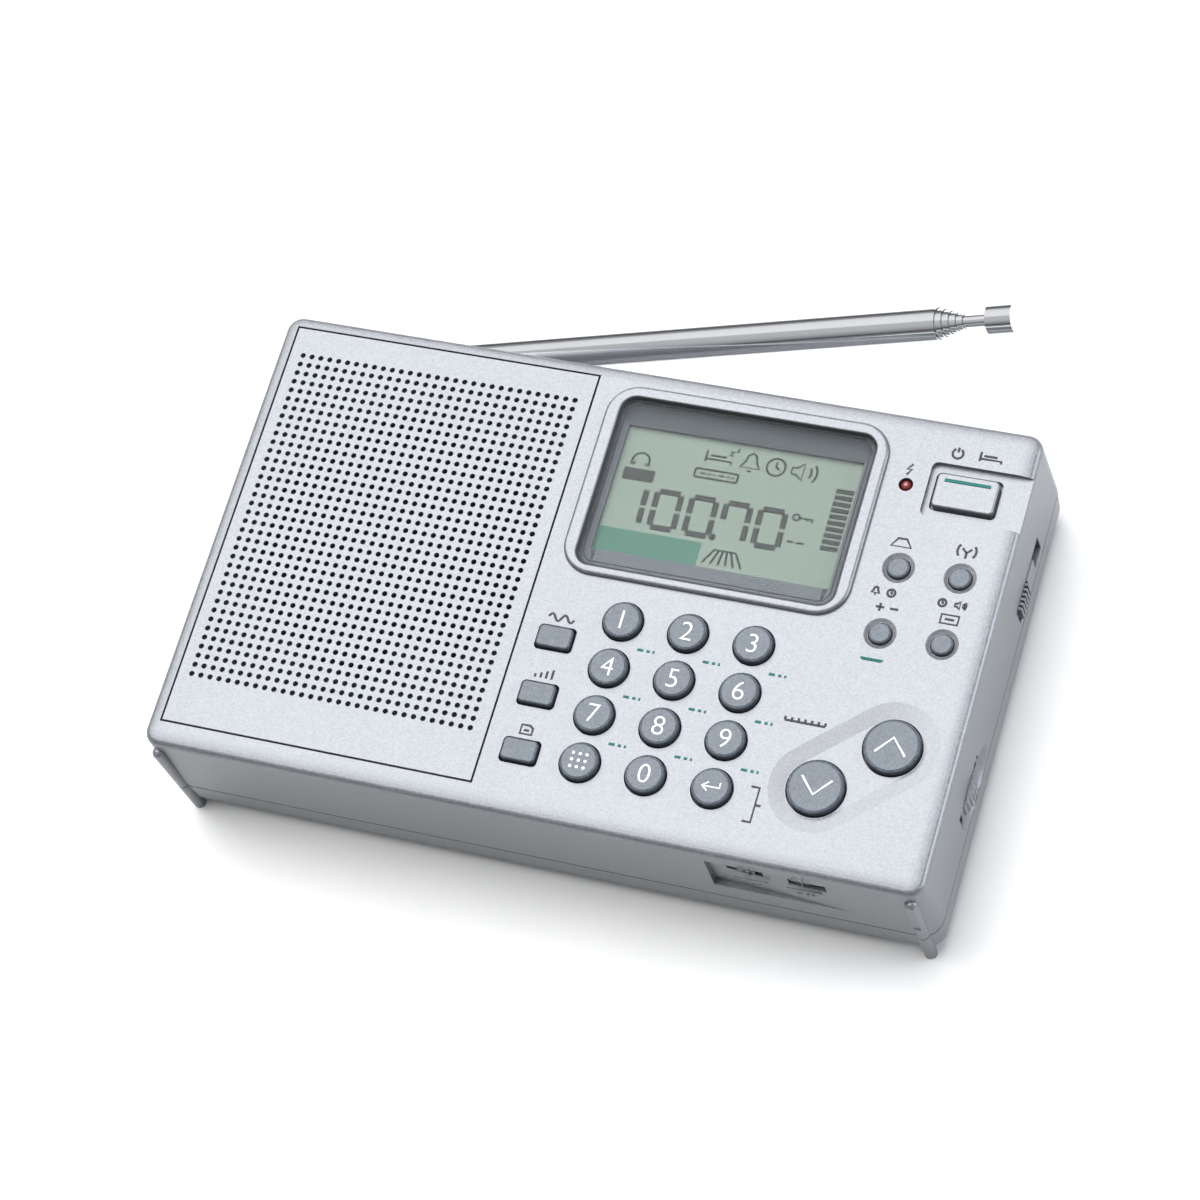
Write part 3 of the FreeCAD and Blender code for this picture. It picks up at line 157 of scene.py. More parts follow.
# %% Wires and nodes
class Wire:
    """One output of a shader node; sums and products of wires become Math nodes."""

    def __init__(self, tree, socket):
        self.tree = tree
        self.socket = socket

    def math(self, operation, first, second):
        return add_node(self.tree, "Math", {"operation": operation}, {0: first, 1: second})

    def __add__(self, other):
        return self.math("ADD", self, other)

    def __sub__(self, other):
        return self.math("SUBTRACT", self, other)

    def __mul__(self, other):
        return self.math("MULTIPLY", self, other)

    def __rsub__(self, other):
        return self.math("SUBTRACT", other, self)

    __radd__ = __add__
    __rmul__ = __mul__


def add_node(tree, kind, settings, values, output=0):
    """Makes a node, sets it up, fills or links its sockets, and returns one output."""
    node = tree.nodes.new("ShaderNode" + kind)
    for key, value in settings.items():
        if key == "stops":
            ramp = node.color_ramp.elements
            while len(ramp) < len(value):
                ramp.new(1.0)
            for element, (place, colour) in zip(ramp, value):
                element.position = place
                element.color = (*colour, 1.0)
        else:
            setattr(node, key, value)
    for key, value in values.items():
        if isinstance(value, Wire):
            tree.links.new(value.socket, node.inputs[key])
        else:
            node.inputs[key].default_value = value
    return Wire(tree, node.outputs[output])


def new_finish(name, roughness=0.5, metallic=0.0, **sockets):
    """A material with its one Principled shader; constants go on the shader itself."""
    material = bpy.data.materials.new(name)
    material.use_nodes = True
    shader = material.node_tree.nodes["Principled BSDF"]
    shader.inputs["Roughness"].default_value = roughness
    shader.inputs["Metallic"].default_value = metallic
    for key, value in sockets.items():
        shader.inputs[key.replace("_", " ")].default_value = value
    return material, material.node_tree, shader


def feed(tree, shader, **wires):
    for key, wire in wires.items():
        tree.links.new(wire.socket, shader.inputs[key.replace("_", " ")])


def place_of(tree):
    return add_node(tree, "TexCoord", {}, {}, "Object")


def mixed(tree, share, first, second):
    """A colour between two colours."""
    return add_node(tree, "Mix", {"data_type": "RGBA"},
                    {"Factor": share, 6: (*first, 1.0), 7: (*second, 1.0)}, 2)


def bumped(tree, height, strength, distance):
    return add_node(tree, "Bump", {}, {"Height": height, "Strength": strength,
                                       "Distance": distance}, "Normal")


print("shader helpers ready")

# %% [markdown]
# ## Metallic paint
# The case is moulded plastic with silver lacquer.  The lacquer holds tiny flakes that lie
# at slightly different angles, so it looks like fine bright and dark grain up close, and
# like an even, slightly soft metal from afar.  A Voronoi texture gives each flake its own
# brightness; a slow noise adds the faint clouds of a sprayed coat.

# %% Speckled paint
def speckled(name, dark, light, flake, roughness, metallic, grain=0.35, coat=0.0, bump=0.2):
    """Flakes of random brightness between two colours, with a fine orange-peel bump."""
    material, tree, shader = new_finish(name, roughness, metallic, Coat_Weight=coat,
                                        Coat_Roughness=0.15)
    place = place_of(tree)
    cells = add_node(tree, "TexVoronoi", {}, {"Vector": place, "Scale": 1.0 / flake}, "Color")
    red = add_node(tree, "SeparateColor", {}, {"Color": cells}, "Red")
    fine = add_node(tree, "TexNoise", {}, {"Vector": place, "Scale": 0.45 / flake,
                                           "Detail": 2.0}, "Fac")
    cloud = add_node(tree, "TexNoise", {}, {"Vector": place, "Scale": 28.0,
                                            "Detail": 2.0}, "Fac")
    share = red * grain + fine * (0.75 - grain) + cloud * 0.25
    feed(tree, shader, Base_Color=mixed(tree, share, dark, light),
         Roughness=red * 0.12 + cloud * 0.06 + (roughness - 0.09),
         Normal=bumped(tree, red * 0.5 + fine * 0.5, bump, flake * 0.25))
    return material


silver_paint = speckled("silver_paint", (0.12, 0.127, 0.137), (0.24, 0.25, 0.268), 0.00024,
                        0.38, 0.56, grain=0.5, bump=0.3)
key_paint = speckled("key_grey", (0.014, 0.02, 0.029), (0.1, 0.122, 0.146), 0.00028, 0.42,
                     0.25, grain=0.5, coat=0.2, bump=0.3)
mask_print = speckled("grey_mask", (0.03, 0.041, 0.052), (0.053, 0.069, 0.085), 0.00012, 0.4,
                      0.1, grain=0.3, bump=0.05)
black_moulding = speckled("black_moulding", (0.008, 0.008, 0.009), (0.024, 0.024, 0.027),
                          0.0003, 0.55, 0.0, bump=0.5)
sintered = speckled("ferrite", (0.02, 0.02, 0.022), (0.07, 0.07, 0.075), 0.0002, 0.75, 0.1,
                    grain=0.6, bump=0.6)
print("five speckled finishes")

# %% [markdown]
# ## Bright metal
# The antenna is drawn brass tube with bright plating.  Its only detail is fine wiping
# marks along the tube and slightly uneven gloss.  Steel parts inside are duller.

# %% Plated metal
def plated(name, colour, roughness, mark):
    material, tree, shader = new_finish(name, roughness, 1.0)
    place = place_of(tree)
    wiped = add_node(tree, "Mapping", {}, {"Vector": place, "Scale": (60.0, 2600.0, 2600.0)})
    lines = add_node(tree, "TexNoise", {}, {"Vector": wiped, "Scale": 1.0, "Detail": 3.0}, "Fac")
    cloud = add_node(tree, "TexNoise", {}, {"Vector": place, "Scale": 90.0}, "Fac")
    worn = tuple(channel * 0.86 for channel in colour)
    feed(tree, shader, Base_Color=mixed(tree, lines * 0.5 + cloud * 0.5, worn, colour),
         Roughness=lines * mark + cloud * mark + (roughness - mark),
         Normal=bumped(tree, lines, 0.08, 0.00002))
    return material


chrome = plated("chrome_plate", (0.86, 0.865, 0.88), 0.1, 0.04)
steel = plated("plated_steel", (0.6, 0.6, 0.62), 0.32, 0.1)
print("two metals")

# %% [markdown]
# ## Display, lens and small lamps
# The display is a grey-green liquid crystal under a clear window.  The window must let the
# eye through, so its colour barely counts and its alpha is low; what shows is its gloss.

# %% Clear and coloured plastics
def clear_window(name, colour, alpha, roughness):
    material, tree, shader = new_finish(name, roughness, 0.0, Alpha=alpha)
    dust = add_node(tree, "TexNoise", {}, {"Vector": place_of(tree), "Scale": 900.0,
                                           "Detail": 3.0}, "Fac")
    deep = tuple(channel * 0.8 for channel in colour)
    feed(tree, shader, Base_Color=mixed(tree, dust, deep, colour),
         Roughness=dust * 0.05 + roughness)
    return material


def liquid_crystal(name, dark, light):
    """Fine horizontal rows of the rear polariser, and a slow drift of tone."""
    material, tree, shader = new_finish(name, 0.6, 0.0, Specular_IOR_Level=0.2)
    place = place_of(tree)
    rows = add_node(tree, "TexWave", {"bands_direction": "Y"},
                    {"Vector": place, "Scale": 900.0}, "Fac")
    drift = add_node(tree, "TexNoise", {}, {"Vector": place, "Scale": 45.0}, "Fac")
    grain = add_node(tree, "TexNoise", {}, {"Vector": place, "Scale": 5200.0}, "Fac")
    share = rows * 0.2 + drift * 0.45 + grain * 0.35
    feed(tree, shader, Base_Color=mixed(tree, share, dark, light),
         Roughness=grain * 0.1 + 0.55)
    return material


window = clear_window("clear_lens", (0.25, 0.27, 0.28), 0.08, 0.03)
lcd_green = liquid_crystal("lcd_green", (0.137, 0.18, 0.147), (0.202, 0.258, 0.21))
lcd_tint = liquid_crystal("lcd_tint", (0.02, 0.105, 0.072), (0.046, 0.15, 0.106))
red_lens = speckled("red_lens", (0.05, 0.002, 0.003), (0.2, 0.008, 0.01), 0.0004, 0.2, 0.0,
                    coat=0.8, bump=0.1)
print("window, crystal and lamp")

# %% [markdown]
# ## Inks
# Printed signs are a thin film of ink: nearly flat colour, broken by the grain beneath and
# by tiny pinholes, so each ink mixes two close tones.

# %% Inks
def ink(name, colour, thin, roughness=0.45):
    material, tree, shader = new_finish(name, roughness, 0.0, Specular_IOR_Level=0.2)
    place = place_of(tree)
    grain = add_node(tree, "TexNoise", {}, {"Vector": place, "Scale": 7000.0,
                                            "Detail": 2.0}, "Fac")
    feed(tree, shader, Base_Color=mixed(tree, grain, colour, thin),
         Roughness=grain * 0.2 + (roughness - 0.1))
    return material


white_ink = ink("white_ink", (0.74, 0.76, 0.78), (0.62, 0.64, 0.66))
# This black ink prints the signs and also draws the painted shade lines round the display window.
black_ink = ink("black_ink", (0.012, 0.012, 0.014), (0.05, 0.05, 0.055))
teal_ink = ink("teal_ink", (0.0, 0.08, 0.07), (0.004, 0.13, 0.112))
segment_ink = ink("segment_ink", (0.012, 0.015, 0.014), (0.022, 0.026, 0.024), 0.7)
print("four inks")

# %% [markdown]
# ## What lies inside
# The speaker cone is coated paper, the sheet behind the grille is a fine cloth, the boards
# carry solder mask with thin copper tracks, and the coils are wound wire.  They show only
# through openings or when the radio is opened, but each has its own pattern.

# %% Paper, cloth, boards, wire and cell jackets
def banded(name, dark, light, pitch, direction, roughness, metallic=0.0, bump=0.4):
    """Even ridges along one direction: wound wire, or the weave of a cloth."""
    material, tree, shader = new_finish(name, roughness, metallic)
    place = place_of(tree)
    ridges = add_node(tree, "TexWave", {"bands_direction": direction},
                      {"Vector": place, "Scale": 0.314 / pitch, "Distortion": 0.3}, "Fac")
    grain = add_node(tree, "TexNoise", {}, {"Vector": place, "Scale": 0.7 / pitch}, "Fac")
    share = ridges * 0.7 + grain * 0.3
    feed(tree, shader, Base_Color=mixed(tree, share, dark, light),
         Roughness=grain * 0.2 + (roughness - 0.1),
         Normal=bumped(tree, ridges, bump, pitch * 0.2))
    return material


def circuit(name):
    material, tree, shader = new_finish(name, 0.35, 0.0, Coat_Weight=0.3)
    place = place_of(tree)
    brick = add_node(tree, "TexBrick", {"offset": 0.5},
                     {"Vector": place, "Scale": 260.0, "Mortar Size": 0.06,
                      "Color1": (0.0, 0.0, 0.0, 1.0), "Color2": (0.25, 0.25, 0.25, 1.0),
                      "Mortar": (1.0, 1.0, 1.0, 1.0)}, "Fac")
    grain = add_node(tree, "TexNoise", {}, {"Vector": place, "Scale": 1500.0}, "Fac")
    feed(tree, shader, Base_Color=mixed(tree, brick * 0.7 + grain * 0.3, (0.012, 0.07, 0.035),
                                        (0.03, 0.2, 0.09)),
         Roughness=grain * 0.2 + 0.25, Normal=bumped(tree, brick, 0.3, 0.00005))
    return material


paper = banded("speaker_paper", (0.006, 0.006, 0.007), (0.016, 0.016, 0.018), 0.0008, "X", 0.8)
dust_cloth = banded("dust_cloth", (0.07, 0.085, 0.105), (0.15, 0.175, 0.21), 0.00035, "X", 0.8)
copper = banded("copper_wire", (0.2, 0.06, 0.02), (0.5, 0.19, 0.07), 0.0004, "X", 0.35, 0.8)
jacket = banded("cell_jacket", (0.03, 0.04, 0.06), (0.1, 0.12, 0.16), 0.02, "X", 0.35)
board = circuit("circuit_board")
print("paper, cloth, wire, jacket and board")

# %% [markdown]
# ## Finishes onto the CAD pieces
# Each CAD piece already names the slot of its finish in the record, so one small table
# from slot to material dresses all of them.

# %% Dress the solid pieces
FINISHES = {"silver_paint": silver_paint, "key_grey": key_paint, "grey_mask": mask_print,
            "clear_lens": window, "lcd_green": lcd_green, "chrome_plate": chrome,
            "plated_steel": steel, "black_plastic": black_moulding, "speaker_paper": paper,
            "ferrite": sintered, "dust_cloth": dust_cloth, "circuit_board": board,
            "copper_wire": copper, "cell_jacket": jacket, "red_lens": red_lens}
dressed = 0
for entry in frame["record"]["subparts"]:
    piece = nodes[entry["node"]]
    finish = FINISHES[entry["material_slot"]]
    if not piece.material_slots:
        piece.data.materials.append(finish)
    for place in piece.material_slots:
        place.material = finish
    dressed += 1
print(dressed, "pieces dressed")

# %% [markdown]
# A mirror-bright tube would show the whole broad sun as one white patch.  The antenna is
# therefore kept out of the sun's light.  It shows the graded sky and the table instead,
# with a faint glow where the sun would be.

# %% Keep the sun out of the chrome
def restrict(lamp, state):
    """Takes the chrome pieces out of a lamp's light, or gives the lamp to them alone."""
    group = bpy.data.collections.new(lamp.name + "_chrome")
    for entry in frame["record"]["subparts"]:
        if entry["material_slot"] == "chrome_plate":
            group.objects.link(nodes[entry["node"]])
    lamp.light_linking.receiver_collection = group
    for link in group.collection_objects:
        link.light_linking.link_state = state
    return len(group.objects)


restrict(sun, "EXCLUDE")
chrome_glow = add_light("chrome_glow", "SUN", 0.36, angle=SUN_SPREAD)
point_at(chrome_glow, SUN_FROM, ORIGIN)
print(restrict(chrome_glow, "INCLUDE"), "chrome pieces have their own soft light")

# %% [markdown]
# ## Printing: strokes
# Signs, numerals of the display and chevrons are all thin strokes.  On a screen print a
# stroke has an even width and round ends, so each sign is drawn as a few open or closed
# lines, given a round section, made a mesh, and pressed flat.  A poly curve keeps the
# points exactly where they are laid out, which a row of separate strips would not at
# their corners.

# %% Stroke and plate helpers
def clear_selection():
    bpy.ops.object.select_all(action="DESELECT")


def take(piece):
    clear_selection()
    piece.select_set(True)
    bpy.context.view_layer.objects.active = piece


def finish_piece(piece, material, body):
    """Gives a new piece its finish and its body."""
    piece.data.materials.clear()
    piece.data.materials.append(material)
    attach(piece, body)
    return piece


def strokes(name, lines, width, level, material, body="case",
            thick=0.03, centre=None):
    """Lines in millimetres from a centre, pressed to a film at one level in metres."""
    middle_x, middle_y = (0.0, case_y) if centre is None else (centre.x, centre.y)
    curve = bpy.data.curves.new(name, "CURVE")
    curve.dimensions = "3D"
    curve.bevel_depth = width * MM / 2
    curve.bevel_resolution = 1
    curve.use_fill_caps = True
    for line in lines:
        closed = len(line) > 2 and line[0] == line[-1]
        corners = line[:-1] if closed else line
        spline = curve.splines.new("POLY")
        spline.points.add(len(corners) - 1)
        for point, (x, y) in zip(spline.points, corners):
            point.co = (x * MM, y * MM, 0.0, 1.0)
        spline.use_cyclic_u = closed
    drawn = bpy.data.objects.new(name, curve)
    bpy.context.collection.objects.link(drawn)
    take(drawn)
    bpy.ops.object.convert(target="MESH")
    piece = bpy.context.object
    flat = Matrix.Diagonal((1.0, 1.0, thick / width, 1.0))
    piece.data.transform(Matrix.Translation((middle_x, middle_y, level + thick * MM / 2)) @ flat)
    return finish_piece(piece, material, body)


def arc(x, y, radius, start, end, steps=12):
    """Points on a circle, from one angle to another in degrees."""
    angles = [math.radians(start + (end - start) * step / steps) for step in range(steps + 1)]
    return [(x + radius * math.cos(angle), y + radius * math.sin(angle)) for angle in angles]


def ring(x, y, radius, steps=20):
    points = arc(x, y, radius, 0, 360, steps)
    return points[:-1] + points[:1]


def soft_frame(x, y, half_x, half_y, radius, steps=8):
    """A closed rectangle with round corners."""
    points = []
    for turn, (side_x, side_y) in enumerate(((1, 1), (-1, 1), (-1, -1), (1, -1))):
        points += arc(x + side_x * (half_x - radius), y + side_y * (half_y - radius), radius,
                      90 * turn, 90 * turn + 90, steps)
    return points + points[:1]


def plate(name, left, right, front, rear, level, material, thick=0.03, radius=0.3,
          body="case"):
    """A thin film with round corners, from a cube whose upright edges are bevelled."""
    clear_selection()
    bpy.ops.mesh.primitive_cube_add(size=1.0)
    piece = bpy.context.object
    piece.name = name
    size = Vector(((right - left) * MM, (rear - front) * MM, thick * MM))
    centre = Vector(((left + right) / 2 * MM, (front + rear) / 2 * MM + case_y,
                     level + thick * MM / 2))
    piece.data.transform(Matrix.Translation(centre) @ Matrix.Diagonal((*size, 1.0)))
    bpy.ops.object.mode_set(mode="EDIT")
    bpy.ops.mesh.select_mode(type="EDGE")
    bpy.ops.mesh.select_all(action="DESELECT")
    bpy.ops.object.mode_set(mode="OBJECT")
    for edge in piece.data.edges:
        ends = [piece.data.vertices[index].co for index in edge.vertices]
        edge.select = abs(ends[0].z - ends[1].z) > thick * MM / 2
    bpy.ops.object.mode_set(mode="EDIT")
    bpy.ops.mesh.bevel(offset=radius * MM, segments=4)
    bpy.ops.object.mode_set(mode="OBJECT")
    return finish_piece(piece, material, body)


print("stroke and plate helpers ready")

# %% [markdown]
# ## Numerals on the keys
# Each key carries a light numeral.  A text object is the quick way to a clean numeral; it
# is made a mesh and pressed onto the key.  Every key moves by itself, so every numeral is
# a piece of its own that rides on its key.  Two keys carry signs instead: a bent arrow to
# enter, and a small grid of dots for stored stations.

# %% Numerals and key signs
NUMERAL_HIGH = 4.6
PRINT_GAP = 0.004 * MM
NUMERAL_THICK = 0.012 * MM
NUMERAL_THINNER = 0.07 * MM
KEY_SIGN_WIDTH = 0.34


def numeral(digit, key):
    clear_selection()
    bpy.ops.object.text_add()
    drawn = bpy.context.object
    drawn.name = "numeral_" + digit
    drawn.data.body = digit
    drawn.data.align_x = "CENTER"
    drawn.data.align_y = "CENTER"
    drawn.data.size = NUMERAL_HIGH * MM * 1.12
    drawn.data.extrude = NUMERAL_THICK
    drawn.data.offset = -NUMERAL_THINNER
    drawn.data.resolution_u = 4
    bpy.ops.object.convert(target="MESH")
    piece = bpy.context.object
    points = [vertex.co for vertex in piece.data.vertices]
    centre_x = (min(p.x for p in points) + max(p.x for p in points)) / 2
    centre_y = (min(p.y for p in points) + max(p.y for p in points)) / 2
    place = top_of(key) + Vector((-centre_x, -centre_y, NUMERAL_THICK + PRINT_GAP))
    piece.data.transform(Matrix.Translation(place))
    return finish_piece(piece, white_ink, key)


numerals = [numeral(str(digit), f"key_{digit}") for digit in range(10)]
enter_lines = [[(1.6, 0.9), (1.6, -0.1), (-1.6, -0.1)], [(-0.5, 0.7), (-1.6, -0.1), (-0.5, -0.9)]]
strokes("sign_enter", enter_lines, KEY_SIGN_WIDTH, top_of("key_enter").z + PRINT_GAP, white_ink,
        "key_enter", centre=top_of("key_enter"))
dot_rows = [ring(across * 1.25, along * 1.25, 0.16, 8) for across in (-1, 0, 1)
            for along in (-1, 0, 1)]
strokes("sign_memory", dot_rows, KEY_SIGN_WIDTH, top_of("key_memory").z + PRINT_GAP, white_ink,
        "key_memory", centre=top_of("key_memory"))
print(len(numerals), "numerals and two key signs")

# %% [markdown]
# ## Chevrons and the power line
# The two tuning buttons carry an open chevron each, up and down, and the power button has
# one teal line.

# %% Signs on the larger buttons
DISH_DEPTH = 0.12 * MM
CHEVRON_WIDTH = 0.46
POWER_LINE_WIDTH = 0.66
for name, tip in (("tune_up_button", 1.55), ("tune_down_button", -1.55)):
    chevron = [(-2.7, -tip), (0.0, tip), (2.7, -tip)]
    strokes("chevron_" + name.split("_")[1], [chevron], CHEVRON_WIDTH,
            top_of(name).z - DISH_DEPTH, white_ink, name, thick=0.12,
            centre=top_of(name))
line_place = top_of("power_button") + Vector((0.0, 1.9 * MM, 0.0))
strokes("power_line", [[(-4.2, 0.0), (4.2, 0.0)]], POWER_LINE_WIDTH, line_place.z + PRINT_GAP, teal_ink,
        "power_button", centre=line_place)
print("chevrons and power line")

# %% [markdown]
# ## Signs on the face
# The face carries small signs beside its controls.  They are generic pictures: a wave for
# the band, steps for the signal, a sheet for the page, and so on.  Signs of one colour are
# one piece, because one screen prints them in one pass.

# %% Black signs
BLACK_WIDTH = 0.44
TEAL_WIDTH = 0.5


def shifted(lines, x, y, size=1.0):
    return [[(x + px * size, y + py * size) for px, py in line] for line in lines]


WAVE = [[(-2.0 + step * 0.25, 0.55 * math.sin(step * math.pi / 4)) for step in range(17)]]
STEPS = [[(-1.2, -0.7), (-1.2, -0.2)], [(-0.4, -0.7), (-0.4, 0.1)], [(0.4, -0.7), (0.4, 0.4)],
         [(1.2, -0.7), (1.2, 0.7)]]
SHEET = [[(-0.9, -0.7), (0.9, -0.7), (0.9, 0.3), (0.4, 0.7), (-0.9, 0.7), (-0.9, -0.7)],
         [(-0.4, -0.1), (0.4, -0.1)]]
TRAPEZE = [[(-1.4, -0.6), (-0.6, 0.6), (0.6, 0.6), (1.4, -0.6), (-1.4, -0.6)]]
MAST = [[(0.0, -0.8), (0.0, 0.4)], [(-0.7, 0.8), (0.0, 0.1), (0.7, 0.8)],
        arc(0.0, 0.4, 1.4, -40, 40, 5), arc(0.0, 0.4, 1.4, 140, 220, 5)]
PLUS_MINUS = [[(-1.3, 0.0), (-0.3, 0.0)], [(-0.8, -0.5), (-0.8, 0.5)], [(0.4, 0.0), (1.4, 0.0)]]
SCREEN = [[(-1.3, -0.7), (1.3, -0.7), (1.3, 0.7), (-1.3, 0.7), (-1.3, -0.7)],
          [(-0.7, 0.0), (0.7, 0.0)]]
POWER = [arc(0.0, 0.0, 0.8, 120, 420, 14), [(0.0, 0.2), (0.0, 1.0)]]
BED = [[(-1.6, 0.9), (-1.6, -0.6)], [(-1.6, -0.2), (1.6, -0.2), (1.6, -0.6)],
       [(-1.1, 0.3), (0.9, 0.3)]]
BOLT = [[(0.3, 0.9), (-0.4, 0.0), (0.3, 0.0), (-0.3, -0.9)]]
SCALE = [[(-3.6, 0.0), (3.6, 0.0)]] + [[(-3.6 + step * 1.2, 0.0), (-3.6 + step * 1.2, 0.7)]
                                       for step in range(7)]
BELL = [[(-0.9, -0.5), (-0.5, 0.1), (-0.4, 0.7), (0.0, 0.95), (0.4, 0.7), (0.5, 0.1),
         (0.9, -0.5), (-0.9, -0.5)], [(-0.2, -0.8), (0.2, -0.8)]]
CLOCK = [ring(0.0, 0.0, 0.85), [(0.0, 0.5), (0.0, 0.0), (0.35, -0.2)]]
HORN = [[(-0.9, -0.35), (-0.4, -0.35), (0.2, -0.9), (0.2, 0.9), (-0.4, 0.35), (-0.9, 0.35),
         (-0.9, -0.35)], arc(0.2, 0.0, 0.8, -40, 40, 5), arc(0.2, 0.0, 1.35, -40, 40, 6)]

black_signs = (shifted(WAVE, -3.1, -6.3, 1.2) + shifted(STEPS, -3.1, -17.1, 1.3)
               + shifted(SHEET, -3.1, -28.0, 1.2) + shifted(TRAPEZE, 52.8, 19.1, 1.3)
               + shifted(MAST, 64.4, 19.1, 1.2) + shifted(PLUS_MINUS, 53.3, 6.5, 1.5)
               + shifted(SCREEN, 64.6, 6.4, 1.2) + shifted(POWER, 58.2, 37.7, 1.2)
               + shifted(BED, 64.2, 37.7, 1.2) + shifted(BOLT, 50.6, 33.2, 1.2)
               + shifted(SCALE, 44.9, -17.2) + shifted(BELL, 50.6, 9.4, 0.8)
               + shifted(CLOCK, 53.4, 9.4, 0.8) + shifted(CLOCK, 62.6, 9.3, 0.8)
               + shifted(HORN, 65.6, 9.3, 0.8))
bracket = [[(38.9, -30.3), (40.4, -30.3), (40.4, -36.7), (38.9, -36.7)],
           [(40.4, -33.5), (41.4, -33.5)]]
strokes("black_signs", black_signs + bracket, BLACK_WIDTH, face_top, black_ink)
print(len(black_signs) + len(bracket), "black lines")

# %% [markdown]
# The second functions of the keys are printed in teal, to the lower right of each key.

# %% Teal signs
DASHES = [[(-1.6, 0.0), (-0.5, 0.0)], [(0.1, 0.0), (0.7, 0.0)], [(1.2, 0.0), (1.6, 0.0)]]
key_column = [middle(f"key_{digit}").x / MM for digit in (1, 2, 3)]
key_row = [(middle(f"key_{digit}").y - case_y) / MM for digit in (1, 4, 7)]
teal_signs = []
for row in key_row:
    for column in key_column:
        teal_signs += shifted(DASHES, column + 5.6, row - 4.6)
teal_signs += shifted(SCALE, 53.2, -3.5, 0.5)
strokes("teal_signs", teal_signs, TEAL_WIDTH, face_top, teal_ink)
print(len(teal_signs), "teal lines")

# %% [markdown]
# ## The display
# Two thin dark lines of painted shade run round the grey mask, where the lens meets the raised rim.
# The liquid crystal shows a frequency in seven-segment numerals, ten signal bars, a row of small
# pictures and a tinted corner.

# %% Painted shade lines of the window
lens_low, lens_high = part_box("lcd_lens")
lens_middle = ((lens_low + lens_high) / 2)
lens_x = lens_middle.x / MM
lens_y = (lens_middle.y - case_y) / MM
lens_half_x = (lens_high.x - lens_low.x) / 2 / MM
lens_half_y = (lens_high.y - lens_low.y) / 2 / MM
window_lines = [soft_frame(lens_x, lens_y, lens_half_x - inset, lens_half_y - inset,
                           2.8 - inset * 0.6) for inset in (0.25, 1.0)]
# Painted shade: black strokes on the lens stand in for the shade at the edge of the recessed window.
strokes("window_lines", window_lines, 0.22, lens_top - 0.02 * MM, black_ink)
print("window is", round(lens_half_x * 2, 1), "by", round(lens_half_y * 2, 1), "mm")

# %% Numerals of the display
INK_LEVEL = glass_top + 0.01 * MM
DIGIT_WIDTH = 1.1
DIGIT_HALF = 2.25
DIGIT_HIGH = 3.55
GAP = 0.28
LEAN = -0.03
SEGMENTS = {"a": ((-1, 1), (1, 1)), "b": ((1, 1), (1, 0)), "c": ((1, 0), (1, -1)),
            "d": ((-1, -1), (1, -1)), "e": ((-1, 0), (-1, -1)), "f": ((-1, 1), (-1, 0)),
            "g": ((-1, 0), (1, 0))}
LIT = {"0": "abcdef", "1": "bc", "7": "abcf"}


def segment_lines(digit, x, y):
    lines = []
    for letter in LIT[digit]:
        (ax, ay), (bx, by) = SEGMENTS[letter]
        start = Vector((ax * DIGIT_HALF, ay * DIGIT_HIGH))
        end = Vector((bx * DIGIT_HALF, by * DIGIT_HIGH))
        step = (end - start).normalized() * GAP
        for place in (start, end):
            place.x += place.y * LEAN
        lines.append([(x + start.x + step.x, y + start.y + step.y),
                      (x + end.x - step.x, y + end.y - step.y)])
    return lines


digits = []
for digit, x in (("1", 2.2), ("0", 8.8), ("0", 15.4), ("7", 21.8), ("0", 28.3)):
    digits += segment_lines(digit, x, 18.3)
digits.append(ring(18.6, 14.8, 0.12, 8))
strokes("display_digits", digits, DIGIT_WIDTH, INK_LEVEL, segment_ink)
print(len(digits), "lit segments")

# %% Pictures and bars of the display
BAR_WIDTH = 0.9
PICTURE_WIDTH = 0.42
bars = [[(38.2, 16.4 + step * 1.25), (41.5, 16.4 + step * 1.25)] for step in range(10)]
strokes("signal_bars", bars, BAR_WIDTH, INK_LEVEL, segment_ink)
KEY_SIGN = [ring(0.0, 0.0, 0.5, 12), [(0.5, 0.0), (2.5, 0.0), (2.5, -0.5)],
            [(1.8, 0.0), (1.8, -0.4)]]
PHONES = [arc(0.0, -0.2, 1.3, 0, 180, 12), [(-1.3, -0.2), (-1.3, -0.9)], [(1.3, -0.2), (1.3, -0.9)],
          [(-0.9, -0.4), (-0.9, -0.9)], [(0.9, -0.4), (0.9, -0.9)]]
FAN = [[(-2.9, -1.1), (-1.6, 1.1), (1.6, 1.1), (2.9, -1.1)], [(-1.7, -1.1), (-0.9, 1.1)],
       [(-0.55, -1.1), (-0.3, 1.1)], [(0.55, -1.1), (0.3, 1.1)], [(1.7, -1.1), (0.9, 1.1)]]
SNOOZE = [[(0.0, 0.0), (0.7, 0.0), (0.0, -0.7), (0.7, -0.7)],
          [(1.1, 0.7), (1.6, 0.7), (1.1, 0.2), (1.6, 0.2)]]
pictures = (shifted(PHONES, 1.6, 27.3, 1.25) + shifted(BED, 15.6, 30.0, 1.5)
            + shifted(SNOOZE, 17.4, 31.7)
            + shifted(BELL, 21.6, 30.2, 2.0) + shifted(CLOCK, 26.3, 30.2, 2.0)
            + shifted(HORN, 31.0, 30.1, 1.9) + shifted(KEY_SIGN, 32.5, 21.3, 1.2)
            + shifted(FAN, 21.7, 11.1, 1.25)
            + [soft_frame(16.0, 26.7, 4.0, 0.85, 0.3, 3)]
            + shifted(DASHES, 14.4, 26.7, 0.9) + shifted(DASHES, 17.9, 26.7, 0.9)
            + [[(32.0, 16.5), (33.2, 16.5)], [(33.7, 16.5), (35.2, 16.5)]])
strokes("display_pictures", pictures, PICTURE_WIDTH, INK_LEVEL, segment_ink)
plate("display_flag", -1.0, 4.9, 23.1, 25.5, glass_top, segment_ink, radius=0.05)
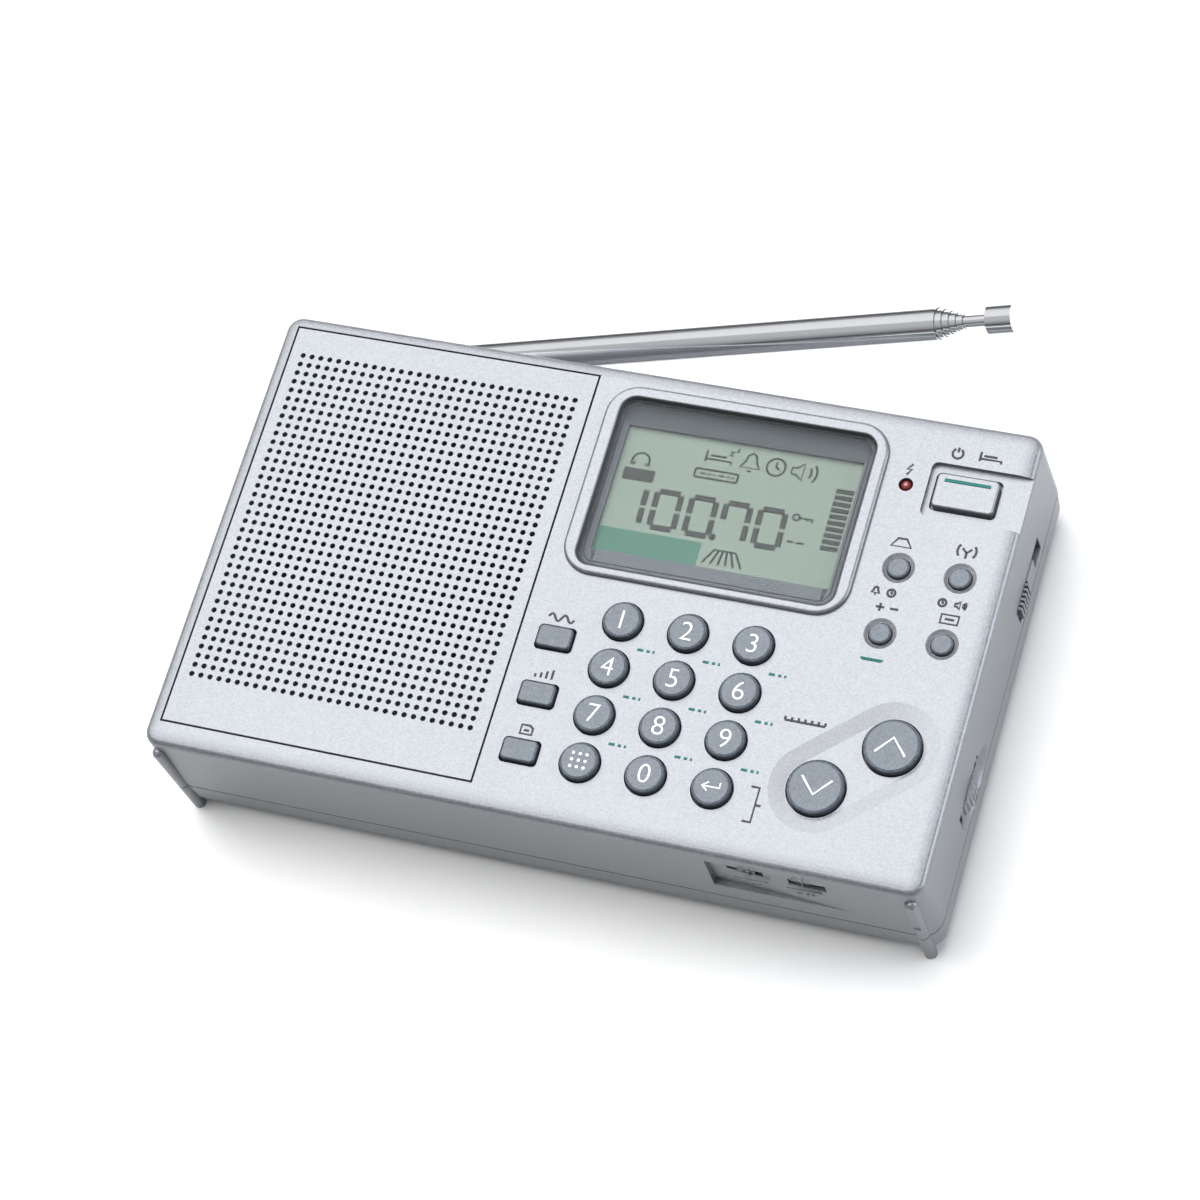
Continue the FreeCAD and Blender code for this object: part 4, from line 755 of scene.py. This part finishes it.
plate("display_corner", -2.2, 17.1, 8.5, 13.4, glass_top, lcd_tint, thick=0.01,
      radius=0.05)
print(len(pictures), "picture lines")

# %% [markdown]
# ## Signs on the sides
# Raised signs mark the two small switches.  They are moulded with the case, so they keep
# its paint and stand out by their height alone.

# %% Raised side signs
def side_signs(name, lines, width, thick, turn, place):
    piece = strokes(name, lines, width, 0.0, silver_paint, thick=thick,
                    centre=Vector((0.0, 0.0, 0.0)))
    piece.data.transform(Matrix.Translation(place) @ turn)
    return piece


low_side_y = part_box("lock_slider")[0].y
upright_front = Matrix.Rotation(math.radians(90), 4, "X")
tray_lines = (shifted(DASHES, 0.0, 2.3) + [[(-3.2, -2.2), (3.2, -2.2)], [(3.2, -2.2), (2.5, -1.7)],
              [(3.2, -2.2), (2.5, -2.7)]] + shifted(DASHES, 0.0, -4.0))
for name, slider in (("lock_signs", "lock_slider"), ("stereo_signs", "stereo_slider")):
    place = middle(slider)
    side_signs(name, tray_lines, 0.3, 0.24, upright_front,
               Vector((place.x, low_side_y - 0.2 * MM, place.z)))
print("signs beside the two switches")

# %% [markdown]
# ## Floor and sky
# The radio stands on a plain pale table that runs past the view on all sides.  It is only
# a stage.

# %% Table and sky
clear_selection()
bpy.ops.mesh.primitive_plane_add(size=8.0)
table = bpy.context.object
table.name = "table"
table_finish, table_tree, table_shader = new_finish("table_white", 0.9, 0.0)
paper_grain = add_node(table_tree, "TexNoise", {}, {"Vector": place_of(table_tree),
                                                    "Scale": 60.0}, "Fac")
feed(table_tree, table_shader, Base_Color=mixed(table_tree, paper_grain, (0.69, 0.69, 0.69),
                                                (0.72, 0.72, 0.72)))
table.data.materials.append(table_finish)

world = bpy.data.worlds.new("sky")
bpy.context.scene.world = world
world.use_nodes = True
sky_tree = world.node_tree
sky_place = add_node(sky_tree, "TexCoord", {}, {}, "Generated")
height = add_node(sky_tree, "SeparateXYZ", {}, {"Vector": sky_place}, "Z")
sky_stops = [(0.0, (0.55, 0.56, 0.58)), (0.12, (0.5, 0.51, 0.53)), (0.22, (0.08, 0.085, 0.095)),
             (0.34, (0.5, 0.51, 0.53)), (0.6, (1.0, 1.02, 1.05)), (1.0, (1.3, 1.3, 1.3))]
sky_colour = add_node(sky_tree, "ValToRGB", {"stops": sky_stops}, {"Fac": height})
sky_tree.links.new(sky_colour.socket, sky_tree.nodes["Background"].inputs["Color"])
sky_tree.nodes["Background"].inputs["Strength"].default_value = 0.5
print("table and sky ready")
